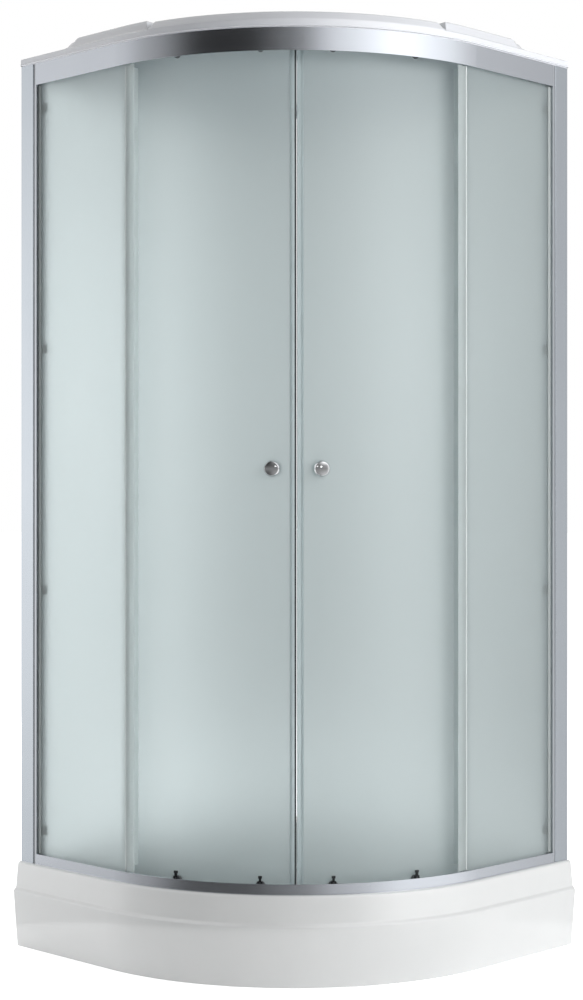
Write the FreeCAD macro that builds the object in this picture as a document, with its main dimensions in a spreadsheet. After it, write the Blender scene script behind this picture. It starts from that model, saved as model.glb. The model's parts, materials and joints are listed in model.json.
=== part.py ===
import FreeCAD, Part
import math
import os
import re

import Sketcher

# Quadrant shower enclosure for a room corner: a deep moulded tray on an underframe with levelling legs,
# two fixed glass panels, two curved glass doors that run on rollers in a curved head rail and a curved
# sill rail, and a moulded roof. Millimetres, +Z up. The walls of the room are the planes x = -wall and
# y = +wall, and the curved front faces +X -Y. Everything is symmetric about the vertical plane through
# the room corner and the middle of the front, where the two doors meet.
#
# Depths that start with "in_" are measured from the face of the frame inwards. Heights of the parts of
# a rail are measured from that rail's lower edge.

Vector = FreeCAD.Vector
Rotation = FreeCAD.Rotation
Placement = FreeCAD.Placement

SIZES = {
    # the room corner and the plan of the enclosure
    "wall": 450.0,               # from the origin to each wall: the tray is 900 by 900
    "frame_reach": 877.0,        # from each wall to the face of the frame opposite
    "arc_radius": 550.0,         # of the frame's curved face
    "arc_x": -123.0,             # centre of the curve: frame_reach - arc_radius - wall
    "arc_y": 123.0,
    # the tray
    "tray_height": 190.0,
    "step_height": 130.0,        # middle of the bevel on top of the apron's thicker lower band
    "step_bevel": 3.0,           # half the bevel's height
    "apron_foot": 12.0,          # how far each edge of the apron stands proud of the frame's face
    "apron_step": 23.0,
    "band_foot": 16.0,
    "band_top": 10.0,
    "tray_skin": 4.0,
    "rim_at_walls": 45.0,
    "rim_at_front": 56.0,
    "basin_floor": 75.0,
    "basin_slope": 8.0,          # degrees that the basin's walls lean outwards
    "basin_corner": 60.0,
    "drain_inset": 250.0,        # from the face of the frame, along the diagonal
    "drain_bore": 45.0,
    # rails, posts and glass
    "frame_height": 1800.0,
    "head_height": 48.0,
    "sill_height": 22.0,
    "rail_depth": 33.0,
    "metal": 1.5,
    "glass": 5.0,
    "slot_front": 8.0,           # the glazing slot, as depths from the face
    "slot_back": 15.5,
    "fixed_glass_in": 9.25,
    "track_front": 17.0,
    "track_back": 27.5,
    "head_track": 18.0,
    "track_metal": 2.0,
    "sill_track": 15.0,
    "channel_width": 42.0,       # of the wall channel, from the wall
    "channel_depth": 36.0,
    "post_start": 12.0,
    "post_face": 52.0,           # the post's free face, from the wall
    "post_in": 2.0,
    "fixed_glass_end": 358.0,    # free edge of the fixed glass, from the wall
    "strip_start": 350.0,
    "strip_end": 371.0,
    # the doors
    "door_glass_in": 38.0,
    "door_glass_foot": 192.5,
    "door_glass_top": 1985.0,
    "door_lead_gap": 1.02,       # degrees from the meeting line to the glass's leading edge
    "door_trail": 45.5,          # degrees from the meeting line to the glass's trailing edge
    "front_roller": 8.5,         # degrees from the meeting line
    "rear_roller": 29.5,
    "wheel_in": 19.2,
    "wheel_width": 6.0,
    "head_wheel": 11.5,          # radii of the running wheels
    "sill_wheel": 5.5,
    "wheel_gap": 0.3,
    "pin_radius": 2.45,
    "sill_pin": 1.75,
    "button_travel": 1.8,
    "knob_angle": 5.7,
    "knob_height": 1074.5,
    "knob_radius": 17.25,
    # the roof
    "roof_overhang": 3.0,
    "roof_rim": 17.0,
    "roof_rise": 19.0,
    "roof_pad_rise": 24.0,
    "roof_skin": 3.0,
    "roof_screw_in": 27.5,
    # legs and drain
    "leg_radius": 5.0,
    "tube": 25.0,
    "outlet_radius": 16.0,
    "outlet_height": 24.0,
}

os.makedirs("parts", exist_ok=True)
doc = FreeCAD.newDocument("quadrant_shower_enclosure")
sheet = doc.addObject("Spreadsheet::Sheet", "Sizes")
for row, (alias, amount) in enumerate(SIZES.items(), start=1):
    sheet.set(f"A{row}", alias)
    sheet.set(f"B{row}", str(amount))
    sheet.setAlias(f"B{row}", alias)
doc.recompute()

PARTS = []
ALIAS = re.compile(r"\b(" + "|".join(sorted(SIZES, key=len, reverse=True)) + r")\b")


# ------------------------------------------------------------------------------- expressions and places

def formula(text):
    """Write the aliases in a formula as cells of the sheet."""
    return ALIAS.sub(r"Sizes.\1", str(text))


def amount_of(text):
    """The present value of a formula."""
    return float(sheet.evalExpression(formula(text)))


def bind(thing, **formulas):
    """Bind properties to formulas. Two underscores stand for a dot."""
    for name, text in formulas.items():
        thing.setExpression(name.replace("__", "."), formula(text))


def keep(thing, node):
    """Name an object as one of the sub-parts that are written out."""
    thing.Label = node
    PARTS.append(thing)
    return thing


def at(thing, x="0", y="0", z="0"):
    bind(thing, Placement__Base__x=x, Placement__Base__y=y, Placement__Base__z=z)
    return thing


def round_the_arc(thing, degrees):
    """Turn an object drawn along +X about the centre of the curve to an angle from the meeting line."""
    thing.Placement = Placement(Vector(), Rotation(Vector(0, 0, 1), 1))
    bind(thing, Placement__Base__x="arc_x", Placement__Base__y="arc_y",
         Placement__Rotation__Angle=f"({degrees}) - 45")
    return thing


# ------------------------------------------------------------------------------------- solid primitives

def box(name, low, high):
    """A block between two corners, each a triple of formulas."""
    block = doc.addObject("Part::Box", name)
    spans = [f"({b}) - ({a})" for a, b in zip(low, high)]
    bind(block, Length=spans[0], Width=spans[1], Height=spans[2])
    return at(block, *low)


TURNS = {"z": Rotation(), "x": Rotation(Vector(0, 1, 0), 90), "y": Rotation(Vector(1, 0, 0), -90)}


def rod(name, radius, start, length, along="z", sweep=None):
    """A cylinder from a start point, along +x, +y or +z, or a sector of one."""
    bar = doc.addObject("Part::Cylinder", name)
    bar.Placement = Placement(Vector(), TURNS[along])
    bind(bar, Radius=radius, Height=length)
    if sweep:
        bind(bar, Angle=sweep)
    return at(bar, *start)


def cone(name, low_radius, high_radius, start, length, along="z"):
    bar = doc.addObject("Part::Cone", name)
    bar.Placement = Placement(Vector(), TURNS[along])
    bind(bar, Radius1=low_radius, Radius2=high_radius, Height=length)
    return at(bar, *start)


def join(name, *pieces):
    whole = doc.addObject("Part::MultiFuse", name)
    whole.Shapes = list(pieces)
    whole.Refine = True
    return whole


def cut(name, base, *tools):
    whole = doc.addObject("Part::Cut", name)
    whole.Base = base
    whole.Tool = tools[0] if len(tools) == 1 else join(name + "_tools", *tools)
    return whole


def shared(name, *pieces):
    whole = doc.addObject("Part::MultiCommon", name)
    whole.Shapes = list(pieces)
    return whole


def group(name, pieces):
    """Separate solids held in one object."""
    whole = doc.addObject("Part::Compound", name)
    whole.Links = list(pieces)
    return whole


def mirrored(name, source):
    """The same piece on the other side of the enclosure."""
    twin = doc.addObject("Part::Mirroring", name)
    twin.Source = source
    twin.Base = Vector()
    twin.Normal = Vector(1, 1, 0)
    return twin


def both(node, piece):
    """A right-hand piece and its mirror image, as two sub-parts."""
    keep(piece, node + "_right")
    return keep(mirrored(node + "_left", piece), node + "_left")


# -------------------------------------------------------------------------------- sketches and features

def new_body(name):
    return doc.addObject("PartDesign::Body", name)


def origin_plane(body, role):
    return next(item for item in body.Origin.OriginFeatures if item.Role == role)


def outline(body, name, role, corners, lift="0", bends=None, closed=True):
    """A sketch on an origin plane from corner formulas, every corner fixed by the sheet.

    bends maps the number of an edge to (radius, centre x, centre y), which makes that edge an arc.
    """
    bends = bends or {}
    sketch = body.newObject("Sketcher::SketchObject", name)
    sketch.AttachmentSupport = [(origin_plane(body, role), "")]
    sketch.MapMode = "FlatFace"
    bind(sketch, AttachmentOffset__Base__z=lift)
    points = [Vector(amount_of(a), amount_of(b), 0) for a, b in corners]
    edges = len(points) if closed else len(points) - 1
    starts = {}
    for edge in range(edges):
        first, last = points[edge], points[(edge + 1) % len(points)]
        if edge not in bends:
            sketch.addGeometry(Part.LineSegment(first, last), False)
            starts[edge] = (1, 2)
            continue
        radius, centre_x, centre_y = (amount_of(text) for text in bends[edge])
        centre = Vector(centre_x, centre_y, 0)
        angles = [math.atan2(p.y - centre.y, p.x - centre.x) for p in (first, last)]
        turn = (angles[1] - angles[0]) % (2 * math.pi)
        forward = turn < math.pi
        low, high = angles if forward else angles[::-1]
        sketch.addGeometry(Part.ArcOfCircle(Part.Circle(centre, Vector(0, 0, 1), radius), low, high), False)
        starts[edge] = (1, 2) if forward else (2, 1)
    for edge in range(edges if closed else edges - 1):
        after = (edge + 1) % edges
        sketch.addConstraint(Sketcher.Constraint("Coincident", edge, starts[edge][1], after, starts[after][0]))
    for number, (text_x, text_y) in enumerate(corners):
        edge, end = (number, 0) if number < edges else (number - 1, 1)
        for kind, text in (("DistanceX", text_x), ("DistanceY", text_y)):
            fixed = Sketcher.Constraint(kind, -1, 1, edge, starts[edge][end], amount_of(text))
            place = sketch.addConstraint(fixed)
            sketch.setExpression(f"Constraints[{place}]", formula(text))
    for edge, (radius, _, _) in bends.items():
        place = sketch.addConstraint(Sketcher.Constraint("Radius", edge, amount_of(radius)))
        sketch.setExpression(f"Constraints[{place}]", formula(radius))
    return sketch


def pad(body, sketch, length, taper=None, downwards=False):
    block = body.newObject("PartDesign::Pad", sketch.Name + "_pad")
    block.Profile = sketch
    block.Reversed = downwards
    bind(block, Length=length)
    if taper:
        bind(block, TaperAngle=taper)
    return block


def loft(body, first, second):
    skin = body.newObject("PartDesign::AdditiveLoft", first.Name + "_loft")
    skin.Profile = first
    skin.Sections = [second]
    skin.Ruled = True
    return skin


def extruded(name, role, corners, start, length, bends=None):
    """A straight extrusion as a body of its own."""
    body = new_body(name)
    pad(body, outline(body, name + "_section", role, corners, start, bends), length)
    return body


def turned(name, corners):
    """A piece turned about the X axis from an outline in x and radius."""
    body = new_body(name)
    sketch = outline(body, name + "_section", "XZ_Plane", corners)
    spin = body.newObject("PartDesign::Revolution", name + "_turned")
    spin.Profile = sketch
    spin.ReferenceAxis = (sketch, ["H_Axis"])
    spin.Angle = 360
    return body


def quadrant(body, name, proud, lift, wall_inset="0"):
    """The plan of the enclosure at a height: two walls, two straight sides and the curved front."""
    back = f"wall - ({wall_inset})"
    reach = f"frame_reach - wall + ({proud})"
    corners = [(f"-({back})", back), (f"-({back})", f"-({reach})"), ("arc_x", f"-({reach})"),
               (reach, "arc_y"), (reach, back)]
    return outline(body, name, "XY_Plane", corners, lift,
                   bends={2: (f"arc_radius + ({proud})", "arc_x", "arc_y")})


def quadrant_block(name, low, high, low_proud, high_proud, wall_inset="0"):
    """A solid between two such plans at two heights."""
    body = new_body(name)
    loft(body, quadrant(body, name + "_low", low_proud, low, wall_inset),
         quadrant(body, name + "_high", high_proud, high, wall_inset))
    return body


# ------------------------------------------------------------------------------------------------- tray

def tray():
    """Moulded tray: a rim that carries the frame, a sloped basin and a stepped apron."""
    lofted = join("tray_lofted",
                  quadrant_block("apron", "0", "step_height - step_bevel", "apron_foot", "apron_step", "-1"),
                  quadrant_block("apron_bevel", "step_height - step_bevel", "step_height + step_bevel",
                                 "apron_step", "band_foot", "-1"),
                  quadrant_block("upper_band", "step_height + step_bevel", "tray_height", "band_foot",
                                 "band_top", "-1"))
    room = box("tray_room", ("-wall", "-wall - 10", "0"), ("wall + 10", "wall", "tray_height"))
    outer = shared("tray_outer", lofted, room)
    past_walls = "-tray_skin - 2"
    inner = join("tray_under",
                 quadrant_block("under_apron", "-1", "step_height - tray_skin",
                                "apron_foot - tray_skin", "apron_step - tray_skin", past_walls),
                 quadrant_block("under_band", "step_height - tray_skin - 1", "tray_height - tray_skin",
                                "band_foot - tray_skin", "band_top - tray_skin", "tray_skin"))
    basin = basin_block("basin", "0", "tray_height + 1", "basin_floor")
    basin_skin = basin_block("basin_skin", "tray_skin", "tray_height - tray_skin + 1",
                             "basin_floor - tray_skin")
    drain = rod("drain_hole", "drain_bore", drain_place("0"), "tray_height")
    hollow = cut("tray_hollow", inner, basin_skin)
    shell = cut("tray_shell_cut", outer, join("tray_voids", basin, hollow, drain))
    keep(shell, "tray_shell")


def drain_place(height):
    inset = "(arc_radius - drain_inset) * sqrt(0.5)"
    return (f"arc_x + {inset}", f"arc_y - {inset}", height)


def basin_block(name, thicker, top, floor):
    """The basin's hollow, larger all round by a thickness, with sloped walls and a rounded back corner."""
    body = new_body(name)
    back = f"wall - rim_at_walls + ({thicker})"
    reach = f"frame_reach - wall - rim_at_front + ({thicker})"
    corner = f"basin_corner + ({thicker})"
    corners = [(f"-({back}) + ({corner})", back), (f"-({back})", f"({back}) - ({corner})"),
               (f"-({back})", f"-({reach}) + ({corner})"), (f"-({back}) + ({corner})", f"-({reach})"),
               ("arc_x", f"-({reach})"), (reach, "arc_y"),
               (reach, f"({back}) - ({corner})"), (f"({reach}) - ({corner})", back)]
    near = f"-({back}) + ({corner})"
    bends = {0: (corner, near, f"({back}) - ({corner})"),
             2: (corner, near, f"-({reach}) + ({corner})"),
             4: (f"arc_radius - rim_at_front + ({thicker})", "arc_x", "arc_y"),
             6: (corner, f"({reach}) - ({corner})", f"({back}) - ({corner})")}
    sketch = outline(body, name + "_plan", "XY_Plane", corners, top, bends)
    pad(body, sketch, f"({top}) - ({floor})", taper="-basin_slope", downwards=True)
    return body


FRAME_TOP = "basin_floor - tray_skin"
LEGS = {"a": ("-330", "300"), "b": ("210", "300"), "c": ("-330", "-230"), "d": ("210", "-230"),
        "e": ("-60", "60")}


def square_tube(name, low, high, along):
    """A square steel tube between two ends, on the underframe's level."""
    top, half, hollow = FRAME_TOP, "tube / 2", "tube / 2 - 2"
    corners = {}
    for part, reach, spare in (("_skin", half, "0"), ("_bore", hollow, "1")):
        first = {"x": (f"({low[0]}) - ({spare})", f"({low[1]}) - ({reach})"),
                 "y": (f"({low[0]}) - ({reach})", f"({low[1]}) - ({spare})")}[along]
        last = {"x": (f"({high[0]}) + ({spare})", f"({high[1]}) + ({reach})"),
                "y": (f"({high[0]}) + ({reach})", f"({high[1]}) + ({spare})")}[along]
        corners[part] = box(name + part, (*first, f"{top} - tube / 2 - ({reach})"),
                            (*last, f"{top} - tube / 2 + ({reach})"))
    return corners["_skin"], corners["_bore"]


def underframe():
    """Welded tube frame under the basin, with a levelling leg at each corner and one in the middle."""
    a, b, c, d, e = (LEGS[key] for key in "abcde")
    runs = [("tube_back", a, b, "x"), ("tube_front", c, d, "x"), ("tube_left", c, a, "y"),
            ("tube_right", d, b, "y"), ("tube_middle", ("-330", e[1]), ("210", e[1]), "x")]
    skins, bores = [], []
    for name, low, high, along in runs:
        spread = "tube / 2" if along == "x" else "-tube / 2"
        ends = {"x": ((f"{low[0]} - ({spread})", low[1]), (f"{high[0]} + ({spread})", high[1])),
                "y": ((low[0], f"{low[1]} - ({spread})"), (high[0], f"{high[1]} + ({spread})"))}[along]
        skin, bore = square_tube(name, *ends, along)
        skins.append(skin)
        bores.append(bore)
    holes = [rod(f"leg_hole_{key}", "leg_radius + 0.2", (*LEGS[key], "0"), "tray_height") for key in LEGS]
    keep(cut("underframe_cut", join("underframe_tubes", *skins), *bores, *holes), "underframe")

    rods, feet = [], []
    low_nut = f"{FRAME_TOP} - tube - 8"
    for key, (x, y) in LEGS.items():
        rods.append(rod(f"leg_rod_{key}", "leg_radius", (x, y, "8"), f"{FRAME_TOP} - 11"))
        nut = doc.addObject("Part::Prism", f"leg_nut_{key}")
        nut.Polygon = 6
        bind(nut, Circumradius="leg_radius * 1.9", Height="8")
        at(nut, x, y, low_nut)
        rods.append(cut(f"leg_nut_cut_{key}", nut, rod(f"nut_bore_{key}", "leg_radius", (x, y, low_nut), "8")))
        pad_disc = cone(f"foot_disc_{key}", "22", "18", (x, y, "0"), "7")
        neck = rod(f"foot_neck_{key}", "10", (x, y, "6"), "8")
        socket = rod(f"foot_socket_{key}", "leg_radius", (x, y, "8"), "7")
        feet.append(cut(f"foot_{key}", join(f"foot_body_{key}", pad_disc, neck), socket))
    keep(group("leg_rods_set", rods), "leg_rods")
    keep(group("leg_feet_set", feet), "leg_feet")


def waste():
    """Drain: a trap clamped under the tray's hole, its seal, and a domed cover over it."""
    x, y, _ = drain_place("0")
    under = f"{FRAME_TOP}"
    cup = rod("trap_cup", "drain_bore + 8", (x, y, "5"), f"{under} - 7.5")
    hollow = rod("trap_hollow", "drain_bore - 4", (x, y, "8"), under)
    collar = rod("trap_collar", "outlet_radius + 4", (x, f"{y} + drain_bore", "outlet_height"), "15", "y")
    spigot = rod("trap_spigot", "outlet_radius", (x, f"{y} + drain_bore", "outlet_height"), "62", "y")
    bore = rod("trap_bore", "outlet_radius - 3", (x, f"{y} + drain_bore - 10", "outlet_height"), "80", "y")
    keep(cut("waste_trap_cut", join("trap_body", cup, collar, spigot), hollow, bore), "waste_trap")
    ring = rod("seal_ring", "drain_bore + 8", (x, y, f"{under} - 2.5"), "2.5")
    keep(cut("waste_seal_cut", ring, rod("seal_bore", "drain_bore - 4", (x, y, f"{under} - 3"), "4")),
         "waste_seal")
    flange = rod("cover_flange", "drain_bore + 11", (x, y, "basin_floor"), "2.5")
    neck = rod("cover_neck", "drain_bore - 5", (x, y, f"{under} - 12"), "17")
    neck_bore = rod("cover_neck_bore", "drain_bore - 8", (x, y, f"{under} - 13"), "17")
    dome = cone("cover_dome", "drain_bore + 9", "drain_bore - 8", (x, y, "basin_floor + 2.5"), "4")
    slots = []
    for number in range(8):
        slot = rod(f"cover_slot_{number}", "5", (f"{x} + 27 * cos({45 * number})",
                                                f"{y} + 27 * sin({45 * number})", f"{under} - 5"), "30")
        slots.append(slot)
    keep(cut("waste_cover_cut", join("cover_body", flange, neck, dome), neck_bore, *slots), "waste_cover")


# ------------------------------------------------------------------------------------------------ frame

HEAD = "tray_height + frame_height - head_height"
SILL = "tray_height"


def rail(node, level, section):
    """An aluminium extrusion bent along the front, drawn as (depth, height) corners of its section."""
    body = new_body(node + "_body")
    face = "frame_reach - wall"
    path = [("-wall + post_face", f"-({face})"), ("arc_x", f"-({face})"), (face, "arc_y"),
            (face, "wall - post_face")]
    spine = outline(body, node + "_path", "XY_Plane", path, bends={1: ("arc_radius", "arc_x", "arc_y")},
                    closed=False)
    corners = [(f"-({face}) + ({depth})", f"{level} + ({height})") for depth, height in section]
    profile = outline(body, node + "_section", "YZ_Plane", corners, "-wall + post_face")
    sweep = body.newObject("PartDesign::AdditivePipe", node + "_sweep")
    sweep.Profile = profile
    sweep.Spine = spine
    return body


def rail_ports(node, height):
    """Screw holes in the two ends of a rail, in the metal at the bottom of its glazing slot."""
    middle = "(slot_front + slot_back) / 2"
    left = rod(node + "_port_left", "1.6", ("-wall + post_face - 1", f"wall - frame_reach + {middle}", height),
               "19", "x")
    return left, mirrored(node + "_port_right", left)


def rails():
    """The head rail with the upper track, and the sill rail with the lower one."""
    head = [("0", "0"), ("metal", "0"), ("metal", "head_height - metal"),
            ("slot_front - metal", "head_height - metal"), ("slot_front - metal", "24"),
            ("slot_front", "24"), ("slot_front", "head_height - 6"), ("slot_back", "head_height - 6"),
            ("slot_back", "head_track"), ("track_back", "head_track"),
            ("track_back", "head_track + track_metal"), ("track_front", "head_track + track_metal"),
            ("track_front", "head_height - metal"), ("rail_depth - metal", "head_height - metal"),
            ("rail_depth - metal", "head_height - 5"), ("rail_depth", "head_height - 5"),
            ("rail_depth", "head_height"), ("0", "head_height")]
    sill = [("0", "0"), ("rail_depth", "0"), ("rail_depth", "metal"), ("track_front", "metal"),
            ("track_front", "sill_track"), ("track_back", "sill_track"),
            ("track_back", "sill_track + metal"), ("slot_back", "sill_track + metal"),
            ("slot_back", "5.5"), ("slot_front", "5.5"), ("slot_front", "16"),
            ("slot_front - metal", "16"), ("slot_front - metal", "metal"), ("metal", "metal"),
            ("metal", "sill_height"), ("0", "sill_height")]
    holes = [rod(f"roof_hole_{number}", "1.9", (x, y, f"{HEAD} + 40"), "20")
             for number, (x, y, _) in enumerate(roof_screw_places())]
    ports = rail_ports("head_rail", f"{HEAD} + head_height - 3.2")
    keep(cut("head_rail_cut", rail("head_rail", HEAD, head), *ports, *holes), "head_rail")
    keep(cut("sill_rail_cut", rail("sill_rail", SILL, sill), *rail_ports("sill_rail", f"{SILL} + 2.75")),
         "sill_rail")


SIDE_FACE = "wall - frame_reach"          # y of the left side's face
CHANNEL_HOLES = ["340", "840", "1340", "1840"]
SIDE_SCREWS = ["265", "806", "1348", "1890"]


def sides():
    """Wall channels, the posts that slide in them, and the screws that hold them together."""
    top = "tray_height + frame_height"
    depths = [("0", "0"), ("channel_width", "0"), ("channel_width", "metal"), ("metal", "metal"),
              ("metal", "channel_depth - metal"), ("channel_width", "channel_depth - metal"),
              ("channel_width", "channel_depth"), ("0", "channel_depth")]
    corners = [(f"-wall + ({along})", f"{SIDE_FACE} + ({depth})") for along, depth in depths]
    channel = extruded("wall_channel_body", "XY_Plane", corners, "tray_height", "frame_height")
    holes = [rod(f"wall_hole_{z}", "2.75", ("-wall - 1", f"{SIDE_FACE} + channel_depth / 2", z), "4", "x")
             for z in CHANNEL_HOLES]
    holes += [rod(f"side_hole_{z}", "1.9", ("-wall + 30", f"{SIDE_FACE} + channel_depth - 4", z), "6", "y")
              for z in SIDE_SCREWS]
    left = keep(cut("wall_channel_cut", channel, *holes), "wall_channel_left")
    keep(mirrored("wall_channel_twin", left), "wall_channel_right")

    back = "channel_depth - post_in"
    skin = [("post_start", "post_in"), ("post_face", "post_in"), ("post_face", "slot_front"),
            ("post_face - 14", "slot_front"), ("post_face - 14", "slot_back"),
            ("post_face", "slot_back"), ("post_face", back), ("post_start", back)]
    bore = [("post_start + metal", "post_in + metal"), ("post_face - 14 - metal", "post_in + metal"),
            ("post_face - 14 - metal", "slot_back + metal"), ("post_face - metal", "slot_back + metal"),
            ("post_face - metal", f"{back} - metal"), ("post_start + metal", f"{back} - metal")]
    pieces = []
    for name, depths in (("post_skin", skin), ("post_bore", bore)):
        corners = [(f"-wall + ({along})", f"{SIDE_FACE} + ({depth})") for along, depth in depths]
        pieces.append(extruded(name, "XY_Plane", corners, "tray_height", "frame_height"))
    middle = f"{SIDE_FACE} + (slot_front + slot_back) / 2"
    for name, z in (("head", f"{HEAD} + head_height - 3.2"), ("sill", f"{SILL} + 2.75")):
        pieces.append(rod(f"post_port_{name}", "1.8", ("-wall + 34", middle, z), "6", "x"))
        pieces.append(rod(f"post_access_{name}", "4", ("-wall + 10", middle, z), "5", "x"))
    for z in SIDE_SCREWS:
        pieces.append(rod(f"post_hole_{z}", "1.6", ("-wall + 30", f"{SIDE_FACE} + channel_depth - 6", z),
                          "6", "y"))
        pieces.append(rod(f"clip_hole_{z}", "1.6", ("-wall + post_face - 4", f"{SIDE_FACE} + 27", z),
                          "6", "x"))
    left = keep(cut("post_cut", *pieces), "post_left")
    keep(mirrored("post_twin", left), "post_right")


def pan_screw(name, start, shank, along, head=("3.4", "2.2"), radius="1.6"):
    """A screw whose shank runs from a start point, along an axis, into the work, behind its head."""
    x, y, z = start
    back = {"x": (f"{x} - {head[1]}", y, z), "-x": (x, y, z),
            "-y": (x, y, z), "z": (x, y, f"{z} - {head[1]}")}[along]
    into = {"x": start, "-x": (f"{x} - {shank}", y, z), "-y": (x, f"{y} - {shank}", z), "z": start}[along]
    axis = along[-1]
    return join(name, rod(name + "_head", head[0], back, head[1], axis),
                rod(name + "_shank", radius, into, shank, axis))


def frame_screws():
    """Screws that join posts to channels, hold the glass clips, and join the rails to the posts."""
    side = []
    for z in SIDE_SCREWS:
        side.append(pan_screw(f"side_screw_{z}", ("-wall + 30", f"{SIDE_FACE} + channel_depth", z),
                              "6", "-y"))
        side.append(pan_screw(f"clip_screw_{z}", ("-wall + post_face + 4", f"{SIDE_FACE} + 27", z),
                              "8", "-x"))
    middle = f"{SIDE_FACE} + (slot_front + slot_back) / 2"
    for name, z in (("head", f"{HEAD} + head_height - 3.2"), ("sill", f"{SILL} + 2.75")):
        side.append(pan_screw(f"rail_screw_{name}", ("-wall + 36.5", middle, z), "30", "x", ("2.5", "2.5")))
    twins = [mirrored(screw.Name + "_twin", screw) for screw in side]
    keep(group("frame_screws_set", side + twins), "frame_screws")


# ------------------------------------------------------------------------------------------ fixed panels

GLASS_FOOT = "tray_height + 6.5"
GLASS_HEAD = f"{HEAD} + head_height - 7"
CLEAR_SILL = "tray_height + sill_height + 1"
CLEAR_HEAD = f"{HEAD} - 1"


def side_prism(name, depths, low, high):
    """An upright extrusion on the left side, from (distance from the wall, depth) corners."""
    corners = [(f"-wall + ({along})", f"{SIDE_FACE} + ({depth})") for along, depth in depths]
    return extruded(name, "XY_Plane", corners, low, f"({high}) - ({low})")


def fixed_panels():
    """Fixed glass with its gaskets, free-edge strips and clips. The left side is drawn, the right mirrored."""
    front, back = "fixed_glass_in", "fixed_glass_in + glass"
    sheet_depths = [("post_face - 12", front), ("fixed_glass_end", front), ("fixed_glass_end", back),
                    ("post_face - 12", back)]
    left = keep(side_prism("fixed_glass", sheet_depths, GLASS_FOOT, GLASS_HEAD), "fixed_glass_left")
    keep(mirrored("fixed_glass_twin", left), "fixed_glass_right")

    seal = [("post_face - 14", "slot_front"), ("post_face + 1", "slot_front"),
            ("post_face + 1", "slot_front - 1.5"), ("post_face + 9.5", "slot_front - 1"),
            ("post_face + 9.5", front), ("post_face - 12", front), ("post_face - 12", back),
            ("post_face + 4", back), ("post_face + 4", "slot_back"), ("post_face - 14", "slot_back")]
    left = keep(side_prism("post_gasket", seal, CLEAR_SILL, CLEAR_HEAD), "post_gasket_left")
    keep(mirrored("post_gasket_twin", left), "post_gasket_right")

    lid = f"{front} - 0.05"
    strip = [("strip_start", "7.4"), ("strip_end + 8", "7.4"), ("strip_end + 8", lid), ("strip_end", lid),
             ("strip_end", "27"), ("strip_end - 1.4", "27"), ("strip_end - 1.4", lid),
             ("fixed_glass_end + 2", lid), ("fixed_glass_end + 2", "16"), ("strip_start", "16"),
             ("strip_start", f"{back} + 0.05"), ("fixed_glass_end + 0.3", f"{back} + 0.05"),
             ("fixed_glass_end + 0.3", lid), ("strip_start", lid)]
    low, high = f"{CLEAR_SILL} + 14", f"{CLEAR_HEAD} - 6"
    nose = side_prism("edge_strip_nose", [*strip[:3], ("strip_start", lid)], CLEAR_SILL, CLEAR_HEAD)
    left = keep(join("edge_strip_joined", side_prism("edge_strip", strip, low, high), nose), "edge_strip_left")
    keep(mirrored("edge_strip_twin", left), "edge_strip_right")

    clips = []
    for z in SIDE_SCREWS:
        foot = box(f"clip_foot_{z}", ("-wall + post_face", f"{SIDE_FACE} + 19.2", f"{z} - 10"),
                   ("-wall + post_face + 4", f"{SIDE_FACE} + 33", f"{z} + 10"))
        tongue = box(f"clip_tongue_{z}", ("-wall + post_face", f"{SIDE_FACE} + slot_back", f"{z} - 10"),
                     ("-wall + post_face + 22", f"{SIDE_FACE} + 19.2", f"{z} + 10"))
        hole = rod(f"clip_bore_{z}", "1.7", ("-wall + post_face - 1", f"{SIDE_FACE} + 27", z), "8", "x")
        clips.append(cut(f"clip_{z}", join(f"clip_body_{z}", foot, tongue), hole))
    twins = [mirrored(clip.Name + "_twin", clip) for clip in clips]
    keep(group("glass_clips_set", clips + twins), "glass_clips")

    ends = ("-wall + post_face + 2", "arc_x - 2")
    gaskets = []
    for name, low, high, gap in (("sill", f"{SILL} + 5.5", f"{SILL} + 15", "low"),
                                 ("head", f"{HEAD} + 24", f"{HEAD} + head_height - 6", "high")):
        for leaf, near, far in (("front", "slot_front", front), ("back", back, "slot_back")):
            gaskets.append(box(f"gasket_{name}_{leaf}", (ends[0], f"{SIDE_FACE} + {near}", low),
                               (ends[1], f"{SIDE_FACE} + {far}", high)))
    twins = [mirrored(strip.Name + "_twin", strip) for strip in gaskets]
    keep(group("rail_gaskets_set", gaskets + twins), "rail_gaskets")

    stop = box("door_stop", ("-wall + 250", f"{SIDE_FACE} + track_front + 0.5", f"{HEAD} + 20"),
               ("-wall + 263.5", f"{SIDE_FACE} + track_back - 0.5", f"{HEAD} + 36"))
    keep(group("door_stops_set", [stop, mirrored("door_stop_twin", stop)]), "door_stops")


# ------------------------------------------------------------------------------------------------- roof

ROOF = "tray_height + frame_height"


def roof_screw_places():
    """Where screws come up through the head rail, and the height of the moulded boss over each."""
    radius = "(arc_radius - roof_screw_in)"
    tall = "roof_rim + roof_rise - 1"
    taller = "roof_rim + roof_pad_rise - 1"
    places = [(f"arc_x + {radius} * cos({angle} - 45)", f"arc_y + {radius} * sin({angle} - 45)", tall)
              for angle in (-18, 18)]
    for along, height in (("110", "roof_rim - 1"), ("235", taller)):
        places.append((f"-wall + {along}", f"{SIDE_FACE} + roof_screw_in", height))
        places.append((f"-({SIDE_FACE}) - roof_screw_in", f"wall - {along}", height))
    return places


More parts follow.
